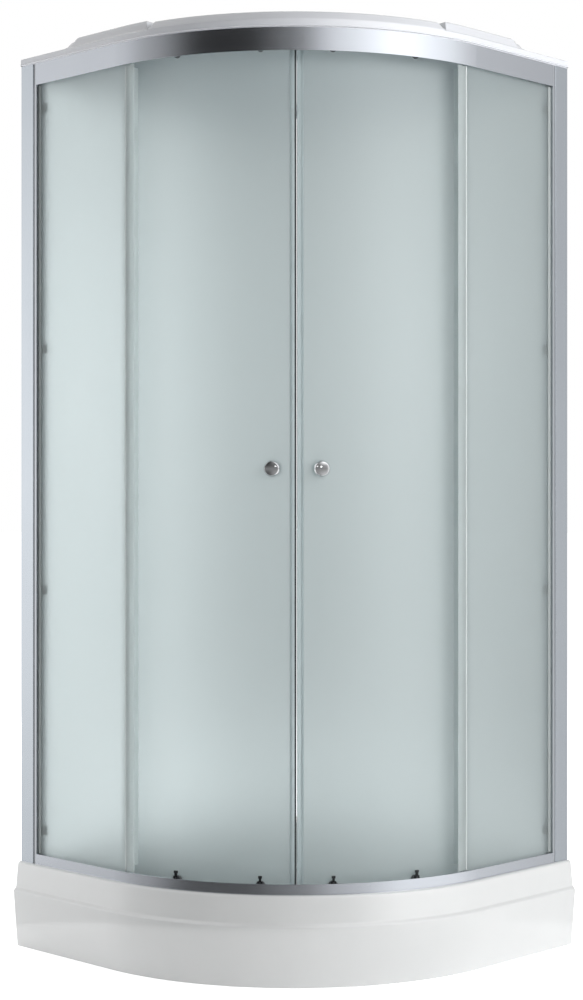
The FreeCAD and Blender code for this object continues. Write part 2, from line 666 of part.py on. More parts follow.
def raised_panels(name, smaller, base):
    """The roof's three raised panels: a low one behind the curve and a taller one along each side."""
    slope = "-30"
    centre = new_body(name + "_centre")
    outer, inner = f"arc_radius + roof_overhang - 1.5 - ({smaller})", f"170 + ({smaller})"
    spread = f"35 - ({smaller}) / 6"
    corners = [(f"({inner}) * cos(-({spread}))", f"({inner}) * sin(-({spread}))"),
               (f"({outer}) * cos(-({spread}))", f"({outer}) * sin(-({spread}))"),
               (f"({outer}) * cos({spread})", f"({outer}) * sin({spread})"),
               (f"({inner}) * cos({spread})", f"({inner}) * sin({spread})")]
    plan = outline(centre, name + "_centre_plan", "XY_Plane", corners, base,
                   bends={1: (outer, "0", "0"), 3: (inner, "0", "0")})
    pad(centre, plan, "roof_rise + 0.5", taper=slope)
    round_the_arc(centre, "0")

    side = new_body(name + "_side")
    edge = f"4 + ({smaller})"
    radius = f"arc_radius - ({edge})"
    turn = f"-45 - 35.4 - ({smaller}) / 6"
    near = f"-wall + 150 + ({smaller})"
    corners = [(near, f"{SIDE_FACE} + {edge}"), ("arc_x", f"{SIDE_FACE} + {edge}"),
               (f"arc_x + ({radius}) * cos({turn})", f"arc_y + ({radius}) * sin({turn})"),
               (f"arc_x + 330 * cos({turn})", f"arc_y + 330 * sin({turn})"),
               (near, f"arc_y + 330 * sin({turn})")]
    plan = outline(side, name + "_side_plan", "XY_Plane", corners, base,
                   bends={1: (radius, "arc_x", "arc_y")})
    pad(side, plan, "roof_pad_rise + 0.5", taper=slope)
    return centre, side, mirrored(name + "_side_twin", side)


def roof():
    """Moulded roof: a rim that overhangs the head rail, a deck and three raised panels, hollow below."""
    deck = f"{ROOF} + roof_rim"
    rim = quadrant_block("roof_rim_block", ROOF, deck, "roof_overhang", "roof_overhang - 1.5")
    outer = join("roof_outer", rim, *raised_panels("panel", "0", f"{deck} - 0.5"))
    under = quadrant_block("roof_under_block", f"{ROOF} - 1", f"{deck} - roof_skin", "-2", "-3.5",
                           "roof_skin")
    hollows = raised_panels("hollow", "roof_skin", f"{deck} - roof_skin - 0.5")
    shell = cut("roof_shell", outer, join("roof_hollow", under, *hollows))
    bosses, bores, screws = [], [], []
    for number, (x, y, height) in enumerate(roof_screw_places()):
        bosses.append(rod(f"roof_boss_{number}", "4", (x, y, ROOF), height))
        bores.append(rod(f"roof_bore_{number}", "1.5", (x, y, f"{ROOF} - 1"), "13"))
        screws.append(pan_screw(f"roof_screw_{number}", (x, y, f"{ROOF} - metal"), "11", "z",
                                ("3", "2"), "1.5"))
    keep(cut("roof_cut", join("roof_with_bosses", shell, *bosses), *bores), "roof_cover")
    keep(group("roof_screws_set", screws), "roof_screws")

    ledge = box("ledge_top", ("-wall + 0.5", f"{SIDE_FACE} + channel_depth + 2", f"{ROOF} - 2"),
                ("-wall + 24", "wall - 26", ROOF))
    web = box("ledge_web", ("-wall", f"{SIDE_FACE} + channel_depth + 2", f"{ROOF} - 24"),
              ("-wall + 2", "wall - 26", ROOF))
    holes = [rod(f"ledge_hole_{number}", "2.75", ("-wall - 1", y, f"{ROOF} - 13"), "4", "x")
             for number, y in enumerate(("-250", "350"))]
    angle = cut("roof_angle_cut", join("roof_angle", ledge, web), *holes)
    keep(angle, "roof_angle_left")
    keep(mirrored("roof_angle_twin", angle), "roof_angle_right")


# ------------------------------------------------------------------------------------------------ doors
# A door's pieces are drawn for the right-hand door. Small pieces are drawn along +X from the centre of
# the curve, so that x is a radius and y runs along the rail, and are then turned to their angle.

GLASS_OUT = "arc_radius - door_glass_in"
GLASS_IN = "arc_radius - door_glass_in - glass"
HEAD_PIN = f"{HEAD} + head_track + track_metal + wheel_gap + head_wheel"
SILL_PIN = f"{SILL} + sill_track - wheel_gap - sill_wheel"
HEAD_BOLT = f"{HEAD} + 14"
SILL_BOLT = f"{SILL} + 12"
ROLLERS = {"front": "front_roller", "rear": "rear_roller"}


def door_glass():
    """Curved safety glass, drilled for the rollers and the knob."""
    span = "door_trail - door_lead_gap"
    start = ("0", "0", "door_glass_foot")
    height = "door_glass_top - door_glass_foot"
    outer = rod("door_outer", GLASS_OUT, start, height, sweep=span)
    inner = rod("door_inner", GLASS_IN, ("0", "0", "door_glass_foot - 1"), f"{height} + 2")
    curved = round_the_arc(cut("door_curve", outer, inner), "door_lead_gap")
    holes = []
    for name, angle in ROLLERS.items():
        for level, height in (("head", HEAD_BOLT), ("sill", SILL_BOLT)):
            hole = group(f"{level}_{name}_glass_hole",
                         [rod(f"{level}_{name}_drill", "4.2", ("arc_radius - 60", "0", height), "40", "x")])
            holes.append(round_the_arc(hole, angle))
    drill = group("knob_glass_hole", [rod("knob_drill", "5", ("arc_radius - 60", "0", "knob_height"), "40", "x")])
    holes.append(round_the_arc(drill, "knob_angle"))
    both("door_glass", cut("door_glass_cut", curved, *holes))


def door_seals():
    """A magnetic seal on the leading edge and a fin seal on the trailing edge."""
    out, back = f"{GLASS_OUT} + 0.4", f"{GLASS_IN} - 0.5"
    tall = "door_glass_top - door_glass_foot - 3"
    magnet = [(f"{back} - 1.5", "0.4"), (f"{out} + 1.5", "0.4"), (f"{out} + 1.5", "14"), (out, "14"),
              (out, "8.8"), (back, "8.8"), (back, "14"), (f"{back} - 1.5", "14")]
    seal = extruded("magnet_seal_body", "XY_Plane", magnet, "door_glass_foot + 1", tall)
    both("magnet_seal", round_the_arc(seal, "0"))
    fin = [(back, "-8"), (f"{back} - 1.4", "-8"), (f"{back} - 1.4", "2"), (f"{out} + 1.4", "2"),
           (f"{out} + 7", "0.8"), (f"{out} + 7", "-0.4"), (f"{out} + 1.4", "-0.6"), (f"{out} + 1.4", "-8"),
           (out, "-8"), (out, "0.3"), (back, "0.3")]
    seal = extruded("trail_seal_body", "XY_Plane", fin, CLEAR_SILL, f"({CLEAR_HEAD}) - ({CLEAR_SILL})")
    both("trail_seal", round_the_arc(seal, "door_trail"))


def knobs():
    """A knob on each face of the glass. The outer one has a stud that passes through to the inner one."""
    def knob(name, extra):
        face, radius = "0", "knob_radius"
        profile = [(face, "0"), (face, "7.5"), ("2", "7.5"), ("4", "6"), ("8", "6"),
                   ("10", f"{radius} - 3"), ("12", f"{radius} - 0.6"), ("15", radius),
                   ("18", f"{radius} - 0.6"), ("21", f"{radius} - 3.5"), ("23", f"{radius} - 8"), ("24", "0")]
        return turned(name, extra(profile))

    outer = knob("knob_outer", lambda profile: [("-14", "0"), ("-14", "3"), ("0", "3")] + profile[1:])
    outer.Placement = Placement(Vector(), Rotation())
    placed = group("knob_outer_set", [at(outer, GLASS_OUT, "0", "knob_height")])
    both("knob_outer", round_the_arc(placed, "knob_angle"))
    inner = knob("knob_inner", lambda profile: [("9.5", "0"), ("9.5", "3.1"), ("0", "3.1")] + profile[1:])
    inner.Placement = Placement(Vector(), Rotation(Vector(0, 0, 1), 180))
    placed = group("knob_inner_set", [at(inner, f"{GLASS_IN} - 0.1", "0", "knob_height")])
    both("knob_inner", round_the_arc(placed, "knob_angle"))


def upper_rollers():
    """Plates on the face of the glass that hang the door from its two upper wheels."""
    plate_in, boss_in = "33.2", "28.5"
    plates = []
    for name, angle in ROLLERS.items():
        thick = f"door_glass_in - {plate_in}"
        start = f"arc_radius - door_glass_in"
        foot = rod(f"plate_foot_{name}", "8", (start, "0", f"{HEAD} + 13"), thick, "x")
        top = rod(f"plate_top_{name}", "8", (start, "0", HEAD_PIN), thick, "x")
        web = box(f"plate_web_{name}", (start, "-8", f"{HEAD} + 13"), (f"{start} + {thick}", "8", HEAD_PIN))
        boss = rod(f"plate_boss_{name}", "5", (start, "0", HEAD_PIN), f"door_glass_in - {boss_in}", "x")
        bolt = rod(f"plate_bolt_hole_{name}", "2.5", (f"{start} - 1", "0", HEAD_BOLT), "20", "x")
        pin = rod(f"plate_pin_hole_{name}", "pin_radius", (f"{start} - 1", "0", HEAD_PIN), "20", "x")
        plate = cut(f"upper_plate_{name}", join(f"plate_{name}", foot, top, web, boss), bolt, pin)
        plates.append(round_the_arc(plate, angle))
    both("upper_rollers", group("upper_rollers_set", plates))


def lower_rollers():
    """Plates at the foot of the glass, each with two guides and a peg for the sprung button."""
    plates = []
    for name, angle in ROLLERS.items():
        back, front = "arc_radius - door_glass_in", "arc_radius - 32.9"
        proud = "arc_radius - 28.6"
        plate = box(f"lower_back_{name}", (back, "-7.5", f"{SILL} + 5"), (front, "7.5", f"{SILL} + 15.5"))
        disc = rod(f"lower_disc_{name}", "10.3", (back, "0", SILL_BOLT), f"({front}) - ({back})", "x")
        under = box(f"lower_under_{name}", (f"{back} - 1", "-12", SILL), (f"{front} + 1", "12", f"{SILL} + 5"))
        foot = cut(f"lower_round_{name}", disc, under)
        guides = [box(f"lower_guide_{name}_{hand}", (front, near, f"{SILL} + 8"), (proud, far, f"{SILL} + 15.5"))
                  for hand, near, far in (("a", "5.55", "7.5"), ("b", "-7.5", "-5.55"))]
        peg = box(f"lower_peg_{name}", (front, "-2.2", f"{SILL} + 12.3"), (proud, "2.2", f"{SILL} + 14"))
        hole = rod(f"lower_bolt_hole_{name}", "2.5", (f"{back} - 1", "0", SILL_BOLT), "4.6", "x")
        body = cut(f"lower_plate_{name}", join(f"lower_{name}", plate, foot, *guides, peg), hole)
        plates.append(round_the_arc(body, angle))
    both("lower_rollers", group("lower_rollers_set", plates))


def roller_bolts():
    """Round-headed bolts through the glass, and the axles of the upper wheels."""
    bolts = []
    for name, angle in ROLLERS.items():
        for level, height, cap, shank in (("head", HEAD_BOLT, "7", "8.6"), ("sill", SILL_BOLT, "10.5", "8.4")):
            head = rod(f"{level}_cap_{name}", cap, (f"{GLASS_IN} - 6.2", "0", height), "6", "x")
            stem = rod(f"{level}_stem_{name}", "2.45", (f"{GLASS_IN} - 1", "0", height), f"1 + {shank}", "x")
            bolts.append(round_the_arc(join(f"{level}_bolt_{name}", head, stem), angle))
        axle = rod(f"axle_{name}", "pin_radius", ("arc_radius - 37", "0", HEAD_PIN), "18.7", "x")
        end = rod(f"axle_end_{name}", "3.8", ("arc_radius - 18.7", "0", HEAD_PIN), "0.9", "x")
        bolts.append(round_the_arc(join(f"axle_with_end_{name}", axle, end), angle))
    both("roller_bolts", group("roller_bolts_set", bolts))


def grooved_wheel(name, radius, bore, height):
    """A wheel with a shallow hub on each face."""
    half = "wheel_width / 2"
    corners = [(f"-({half})", bore), (f"-({half})", f"({bore}) + 2"), (f"-({half}) + 0.6", f"({bore}) + 2"),
               (f"-({half}) + 0.6", f"({radius}) - 1"), (f"-({half}) + 1.4", radius),
               (f"({half}) - 1.4", radius), (f"({half}) - 0.6", f"({radius}) - 1"),
               (f"({half}) - 0.6", f"({bore}) + 2"), (half, f"({bore}) + 2"), (half, bore)]
    wheel = turned(name, corners)
    return at(wheel, f"arc_radius - wheel_in - {half}", "0", height)


def wheels():
    """Eight wheels, each a piece of its own."""
    for name, angle in ROLLERS.items():
        for level, radius, bore, height in (("upper", "head_wheel", "pin_radius + 0.05", HEAD_PIN),
                                            ("lower", "sill_wheel", "sill_pin + 0.05", SILL_PIN)):
            wheel = grooved_wheel(f"{level}_{name}_wheel", radius, bore, height)
            placed = group(f"{level}_{name}_wheel_set", [wheel])
            both(f"{level}_wheel_{name}", round_the_arc(placed, angle))


def release_buttons():
    """Sprung buttons that carry the lower wheels: pressed down, the wheel drops clear of its track."""
    back, front = "arc_radius - 32.6", "arc_radius - 28.6"
    for name, angle in ROLLERS.items():
        slide = box(f"button_slide_{name}", (back, "-5.25", f"{SILL} + 7"), (front, "5.25", f"{SILL} + 22"))
        stem = box(f"button_stem_{name}", (back, "-2.6", f"{SILL} + 21"), (front, "2.6", f"{SILL} + 28.5"))
        tip = box(f"button_tip_{name}", (back, "-3.9", f"{SILL} + 28"), (front, "3.9", f"{SILL} + 33"))
        window = box(f"button_window_{name}", (f"{back} - 1", "-2.5", f"{SILL} + 11.6"),
                     (f"{front} + 1", "2.5", f"{SILL} + 18.2 + button_travel"))
        pin = rod(f"button_pin_{name}", "sill_pin", (back, "0", SILL_PIN), "14.2", "x")
        end = rod(f"button_pin_end_{name}", "2.6", ("arc_radius - 18.7", "0", SILL_PIN), "0.9", "x")
        body = cut(f"button_cut_{name}", join(f"button_{name}", slide, stem, tip, pin, end), window)
        both(f"release_button_{name}", round_the_arc(body, angle))
        coil = rod(f"spring_coil_{name}", "1.9", ("arc_radius - 30.6", "0", f"{SILL} + 14"), "4.2 + button_travel")
        bore = rod(f"spring_bore_{name}", "1.4", ("arc_radius - 30.6", "0", f"{SILL} + 13"), "8")
        spring = cut(f"spring_cut_{name}", coil, bore)
        both(f"button_spring_{name}", round_the_arc(spring, angle))


# ------------------------------------------------------------------------------------------------- build

for make in (tray, underframe, waste, rails, sides, frame_screws, fixed_panels, roof, door_glass, door_seals,
             knobs, upper_rollers, lower_rollers, roller_bolts, wheels, release_buttons):
    make()

doc.recompute()
faults = [thing.Name for thing in doc.Objects if {"Invalid", "Error"} & set(thing.State)]
if faults:
    raise RuntimeError("objects that failed: " + ", ".join(faults))
for part in PARTS:
    if part.Shape.isNull() or not part.Shape.isValid() or not part.Shape.Solids:
        raise RuntimeError(f"{part.Label} has no sound shape")
for part in PARTS:
    part.Shape.exportStep(f"parts/{part.Label}.step")
    print(f"{part.Label}: {len(part.Shape.Solids)} solids, {part.Shape.Volume / 1000:.1f} cm3")
print(len(PARTS), "parts")
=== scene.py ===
"""Looks of a quadrant shower enclosure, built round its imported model.

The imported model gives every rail, post, pane and roller at its true place. This script gives each of
them the finish of the real material, and builds the moulded, turned and wound pieces (tray, roof, knobs,
wheels, screws, springs and drain) with the rounded forms that a drawing in plain solids leaves out.

Lengths are in millimetres in the classes below and become metres in the meshes. The walls of the room are
the planes x = -450 and y = +450, and the curved front faces +x -y.
"""

import json
import logging
import math
from dataclasses import dataclass, field, replace
from enum import Enum
from typing import Any, Callable, Iterable, Sequence

import bmesh
import bpy
from mathutils import Matrix, Vector

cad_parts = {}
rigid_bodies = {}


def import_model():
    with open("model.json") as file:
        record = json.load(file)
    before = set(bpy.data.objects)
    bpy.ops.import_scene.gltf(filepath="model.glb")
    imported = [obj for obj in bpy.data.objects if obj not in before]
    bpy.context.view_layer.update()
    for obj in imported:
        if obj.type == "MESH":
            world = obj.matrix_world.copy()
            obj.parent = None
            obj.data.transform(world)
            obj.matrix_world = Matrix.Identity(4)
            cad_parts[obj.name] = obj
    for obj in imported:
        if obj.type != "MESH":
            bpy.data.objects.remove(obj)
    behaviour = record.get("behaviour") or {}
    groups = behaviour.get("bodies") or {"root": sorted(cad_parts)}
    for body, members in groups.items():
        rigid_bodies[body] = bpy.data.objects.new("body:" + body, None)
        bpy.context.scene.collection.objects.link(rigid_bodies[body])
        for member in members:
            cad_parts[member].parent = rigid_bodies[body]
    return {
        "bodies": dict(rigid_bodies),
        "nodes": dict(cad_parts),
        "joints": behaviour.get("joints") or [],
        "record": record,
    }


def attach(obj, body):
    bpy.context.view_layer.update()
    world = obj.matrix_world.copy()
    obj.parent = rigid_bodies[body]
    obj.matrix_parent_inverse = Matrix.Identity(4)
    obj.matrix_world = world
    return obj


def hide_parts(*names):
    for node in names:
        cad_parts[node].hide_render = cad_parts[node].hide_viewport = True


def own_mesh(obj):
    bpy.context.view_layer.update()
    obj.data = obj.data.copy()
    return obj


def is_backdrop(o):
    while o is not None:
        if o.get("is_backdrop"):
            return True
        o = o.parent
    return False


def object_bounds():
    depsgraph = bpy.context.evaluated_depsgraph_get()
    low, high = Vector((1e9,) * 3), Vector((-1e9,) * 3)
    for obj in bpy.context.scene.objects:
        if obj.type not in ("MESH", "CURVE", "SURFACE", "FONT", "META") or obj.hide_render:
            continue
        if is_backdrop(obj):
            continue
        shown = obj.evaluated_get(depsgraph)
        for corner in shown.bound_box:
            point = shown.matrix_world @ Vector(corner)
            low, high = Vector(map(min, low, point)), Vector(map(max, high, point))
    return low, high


LOG = logging.getLogger("shower")
MM = 0.001
# Turns a seat to face the other way, for what goes on the inside of a pane.
HALF_TURN = Matrix.Rotation(math.pi, 4, "Z")
Ring = list[Vector]
Pair = tuple[float, float]
# A column of a cloth that gives out light: its points and how bright each is.
Column = list[tuple[Vector, float]]


# ----------------------------------------------------------------------------------------------- colours


def linear(code: str) -> tuple[float, float, float, float]:
    """Turn an sRGB hex colour into a linear one.

    Args:
        code: Six hex digits after a hash, such as "#D8DEDD".

    Returns:
        Red, green, blue and an alpha of 1.
    """
    channels = [int(code[i : i + 2], 16) / 255 for i in (1, 3, 5)]
    red, green, blue = (c / 12.92 if c <= 0.04045 else ((c + 0.055) / 1.055) ** 2.4 for c in channels)
    return red, green, blue, 1.0


def per_metre(size_mm: float) -> float:
    """Give the texture scale whose features are about size_mm across."""
    return 1000.0 / size_mm


def blank_tree(owner: bpy.types.Material | bpy.types.World) -> bpy.types.NodeTree:
    """Give the node tree of a new material or world, with nothing in it."""
    owner.use_nodes = True
    owner.node_tree.nodes.clear()
    return owner.node_tree


def add_node(
    tree: bpy.types.NodeTree,
    kind: str,
    settings: dict[str, Any] | None = None,
    inputs: dict[str | int, Any] | None = None,
) -> bpy.types.Node:
    """Add a node with its settings and links.

    Args:
        tree: The node tree that gets the node.
        kind: The node's type, such as "ShaderNodeBump".
        settings: Attributes of the node.
        inputs: Input names or numbers, each with a value or with the output socket to link to it.

    Returns:
        The new node.
    """
    new = tree.nodes.new(kind)
    for name, value in (settings or {}).items():
        setattr(new, name, value)
    for name, value in (inputs or {}).items():
        if isinstance(value, bpy.types.NodeSocket):
            tree.links.new(value, new.inputs[name])
        else:
            new.inputs[name].default_value = value
    return new


# ---------------------------------------------------------------------------------------------- finishes


class Grain(Enum):
    """Which way the marks of making run on a surface."""

    EVEN = (1.0, 1.0, 1.0)
    UPRIGHT = (1.0, 1.0, 0.004)
    LEVEL = (0.004, 0.004, 1.0)


@dataclass(frozen=True)
class Finish:
    """One real material and how its surface was made."""

    name: str
    colour: str
    shade: str
    roughness: float
    roughness_spread: float = 0.05
    metallic: float = 0.0
    ior: float = 1.5
    transmission: float = 0.0
    grain: Grain = Grain.EVEN
    grain_mm: float = 2.0
    grain_depth_mm: float = 0.01
    cloud_mm: float = 120.0
    coat: float = 0.0
    coat_roughness: float = 0.08
    subsurface: float = 0.0
    scatter_mm: float = 4.0

    def make(self) -> bpy.types.Material:
        """Build the node material.

        Returns:
            The material, whose colour and roughness drift slowly and whose bump is the grain.
        """
        material = bpy.data.materials.new(self.name)
        tree = blank_tree(material)
        place = add_node(tree, "ShaderNodeTexCoord").outputs["Object"]
        cloud = add_node(
            tree, "ShaderNodeTexNoise",
            inputs={"Vector": place, "Scale": per_metre(self.cloud_mm), "Detail": 3.0, "Roughness": 0.55},
        )
        tint = add_node(
            tree, "ShaderNodeMix", {"data_type": "RGBA"},
            {0: cloud.outputs["Fac"], 6: linear(self.colour), 7: linear(self.shade)},
        )
        stretched = add_node(tree, "ShaderNodeMapping", inputs={"Vector": place, "Scale": Vector(self.grain.value)})
        grain = add_node(
            tree, "ShaderNodeTexNoise",
            inputs={
                "Vector": stretched.outputs["Vector"], "Scale": per_metre(self.grain_mm), "Detail": 4.0,
                "Roughness": 0.6,
            },
        )
        half = self.roughness_spread / 2
        rough = add_node(
            tree, "ShaderNodeMapRange",
            inputs={
                "Value": grain.outputs["Fac"], "From Min": 0.3, "From Max": 0.7,
                "To Min": self.roughness - half, "To Max": self.roughness + half,
            },
        )
        bump = add_node(
            tree, "ShaderNodeBump",
            inputs={"Height": grain.outputs["Fac"], "Strength": 1.0, "Distance": self.grain_depth_mm * MM},
        )
        shader = add_node(
            tree, "ShaderNodeBsdfPrincipled",
            inputs={
                "Base Color": tint.outputs[2], "Metallic": self.metallic, "Roughness": rough.outputs["Result"],
                "IOR": self.ior, "Transmission Weight": self.transmission, "Coat Weight": self.coat,
                "Coat Roughness": self.coat_roughness, "Subsurface Weight": self.subsurface,
                "Subsurface Scale": self.scatter_mm * MM, "Normal": bump.outputs["Normal"],
            },
        )
        add_node(tree, "ShaderNodeOutputMaterial", inputs={"Surface": shader.outputs["BSDF"]})
        return material


# Cast acrylic sheet, drawn over a mould and backed with resin: a hard white gloss that the mould leaves
# very slightly wavy, so that long highlights wander.
CAST_ACRYLIC = Finish(
    "cast_acrylic", "#F4F5F5", "#EEF0F0", 0.16, 0.05, ior=1.49, grain_mm=28.0, grain_depth_mm=0.05, coat=0.9
)
# The roof's copy of the acrylic is a touch darker and bluer than the tray's: painted shade over the roof.
ROOF_ACRYLIC_PAINTED_SHADE = replace(CAST_ACRYLIC, name="cast_acrylic_roof_painted_shade", colour="#EFF1F6", shade="#E9ECF2")
# Extruded aluminium, etched and anodised natural: a soft grey metal with fine die lines along each bar.
# Real die lines are a few tenths of a millimetre apart and are drawn at 3 mm so that they show.
ANODISED_UPRIGHT = Finish(
    "anodised_aluminium_straight", "#BBC1C7", "#B5BBC2", 0.24, 0.04, metallic=1.0, grain=Grain.UPRIGHT,
    grain_mm=3.0, grain_depth_mm=0.001,
)
# The rails are the same metal, bent to the curve, so their die lines run level.
ANODISED_LEVEL = replace(
    ANODISED_UPRIGHT, name="anodised_aluminium_bent", colour="#BDC1C7", shade="#B7BBC2", grain=Grain.LEVEL
)
# The posts' copy is more matt, and its colour is a touch darker and greyer: painted shade for the shaded posts.
ANODISED_POST_PAINTED_SHADE = replace(
    ANODISED_UPRIGHT, name="anodised_aluminium_matt_painted_shade", colour="#BABEC3", shade="#B4B8BD", roughness=0.34,
    roughness_spread=0.05,
)
# Toughened float glass, etched with acid on one side: a milky pale green that blurs what is behind it.
# The etch is under a tenth of a millimetre and is drawn at 1.5 mm.
ETCHED_GLASS = Finish(
    "etched_toughened_glass", "#C4CECF", "#BFCACB", 0.42, 0.06, ior=1.52, transmission=0.78, grain_mm=1.5,
    grain_depth_mm=0.01, cloud_mm=400.0,
)
# Clear soft vinyl extrusion: slightly cloudy, with a waxy shine.
CLEAR_VINYL = Finish(
    "clear_vinyl", "#F6FAF9", "#F0F5F4", 0.42, 0.06, ior=1.2, transmission=0.92, grain=Grain.UPRIGHT,
    grain_mm=2.0, grain_depth_mm=0.003,
)
# The same vinyl in the wide strips of the fixed panes, whose waxy face takes on the light of the room.
HAZY_VINYL = replace(CLEAR_VINYL, name="hazy_vinyl", colour="#F0F6F6", shade="#E9F0F0", transmission=0.7)
# The door seals are of a softer, cloudier grade of the same vinyl.
CLOUDY_VINYL = replace(
    CLEAR_VINYL, name="cloudy_vinyl", colour="#DAE6E8", shade="#D3E0E2", ior=1.3, transmission=0.5,
    grain_depth_mm=0.002,
)
# The soft lip run onto the same extrusion: milky and smooth. Its milky white is partly painted highlight, so that the
# bead shows as a bright line along the strip's edge.
MILKY_LIP_PAINTED_HIGHLIGHT = replace(
    CLEAR_VINYL, name="milky_vinyl_painted_highlight", colour="#F6FBFB", shade="#F0F6F6", roughness=0.3, roughness_spread=0.05,
    ior=1.3, transmission=0.1,
)
# Soft translucent rubber of the glazing lip: it takes on the light that comes through the pane beside it.
PALE_RUBBER = Finish(
    "translucent_rubber", "#D3DADA", "#CBD3D3", 0.5, 0.08, ior=1.4, transmission=0.45, grain=Grain.UPRIGHT,
    grain_mm=1.5, grain_depth_mm=0.01,
)
# Thermoplastic rubber: grey and matt, marked with a faint line along its length.
GREY_RUBBER = Finish(
    "thermoplastic_rubber", "#9AA3A3", "#929B9B", 0.6, 0.1, ior=1.5, grain=Grain.UPRIGHT, grain_mm=1.5,
    grain_depth_mm=0.03,
)
# Ferrite powder bound in rubber, as in a fridge door: almost black, slightly shiny along its rolled faces.
MAGNET_STRIP = Finish("ferrite_strip", "#3A3F42", "#33383B", 0.5, 0.1, ior=1.6, grain_mm=1.5, grain_depth_mm=0.01)
# Nitrile rubber, moulded: black and matt.
BLACK_RUBBER = Finish("nitrile_rubber", "#1D1E1F", "#161718", 0.6, 0.1, ior=1.52, grain_mm=1.0, grain_depth_mm=0.02)
# Zinc casting polished and plated with nickel and chrome: a mirror with faint finger marks.
CHROME_PLATE = Finish(
    "chromed_zinc", "#E4E5E7", "#DCDEE0", 0.06, 0.05, metallic=1.0, grain_mm=6.0, grain_depth_mm=0.001, cloud_mm=15.0
)
# Moulded ABS, spark-textured: a mid grey with a fine even grain.
GREY_ABS = Finish("moulded_abs", "#6E7173", "#66696B", 0.45, 0.1, ior=1.54, grain_mm=0.8, grain_depth_mm=0.02)
# Acetal, moulded black: slippery, with a low even shine.
BLACK_ACETAL = Finish("black_acetal", "#26282A", "#1E2022", 0.38, 0.08, ior=1.48, grain_mm=1.0, grain_depth_mm=0.01)
# Polypropylene, moulded white: waxy, lets a little light in.
WHITE_POLYPROPYLENE = Finish(
    "white_polypropylene", "#E9EAE8", "#E0E2E0", 0.42, 0.08, ior=1.49, grain_mm=1.5, grain_depth_mm=0.02, subsurface=0.1
)
# Nylon, turned from bar: off-white with rings of the tool.
TURNED_NYLON = Finish(
    "turned_nylon", "#E8E6DD", "#DEDBD0", 0.36, 0.1, ior=1.53, grain_mm=1.0, grain_depth_mm=0.02, subsurface=0.1
)
# Steel tube, blasted and powder coated: dark grey with the orange peel of the melted powder.
POWDER_COAT = Finish(
    "powder_coated_steel", "#5A5D61", "#525559", 0.42, 0.08, ior=1.5, grain_mm=2.5, grain_depth_mm=0.05, coat=0.15
)
# Steel, turned or rolled, then zinc plated and passivated: bright bluish grey with cloudy patches.
ZINC_PLATE = Finish(
    "zinc_plated_steel", "#BFC2C3", "#A9ADAD", 0.32, 0.14, metallic=1.0, grain_mm=0.8, grain_depth_mm=0.008,
    cloud_mm=6.0,
)
# Hard-drawn stainless wire: grey, with the low shine of the die.
DRAWN_WIRE = Finish(
    "drawn_stainless_wire", "#A8AAAC", "#9A9C9E", 0.28, 0.06, metallic=1.0, grain_mm=0.5, grain_depth_mm=0.002
)

SLOT_FINISHES: dict[str, Finish] = {
    "acrylic_white": CAST_ACRYLIC,
    "satin_aluminium": ANODISED_UPRIGHT,
    "frosted_glass": ETCHED_GLASS,
    "clear_plastic": CLEAR_VINYL,
    "grey_rubber": GREY_RUBBER,
    "black_rubber": BLACK_RUBBER,
    "chrome_plate": CHROME_PLATE,
    "grey_plastic": GREY_ABS,
    "black_plastic": BLACK_ACETAL,
    "white_plastic": WHITE_POLYPROPYLENE,
    "white_nylon": TURNED_NYLON,
    "painted_steel": POWDER_COAT,
    "zinc_steel": ZINC_PLATE,
    "spring_steel": DRAWN_WIRE,
}


def stand(name: str, mesh: bmesh.types.BMesh, material: bpy.types.Material) -> bpy.types.Object:
    """Put a mesh into the scene as an object of one material, and free the mesh.

    Args:
        name: The object's name.
        mesh: Its mesh, in metres.
        material: Its material.

    Returns:
        The new object.
    """
    data = bpy.data.meshes.new(name)
    mesh.to_mesh(data)
    mesh.free()
    data.materials.append(material)
    thing = bpy.data.objects.new(name, data)
    bpy.context.scene.collection.objects.link(thing)
    return thing


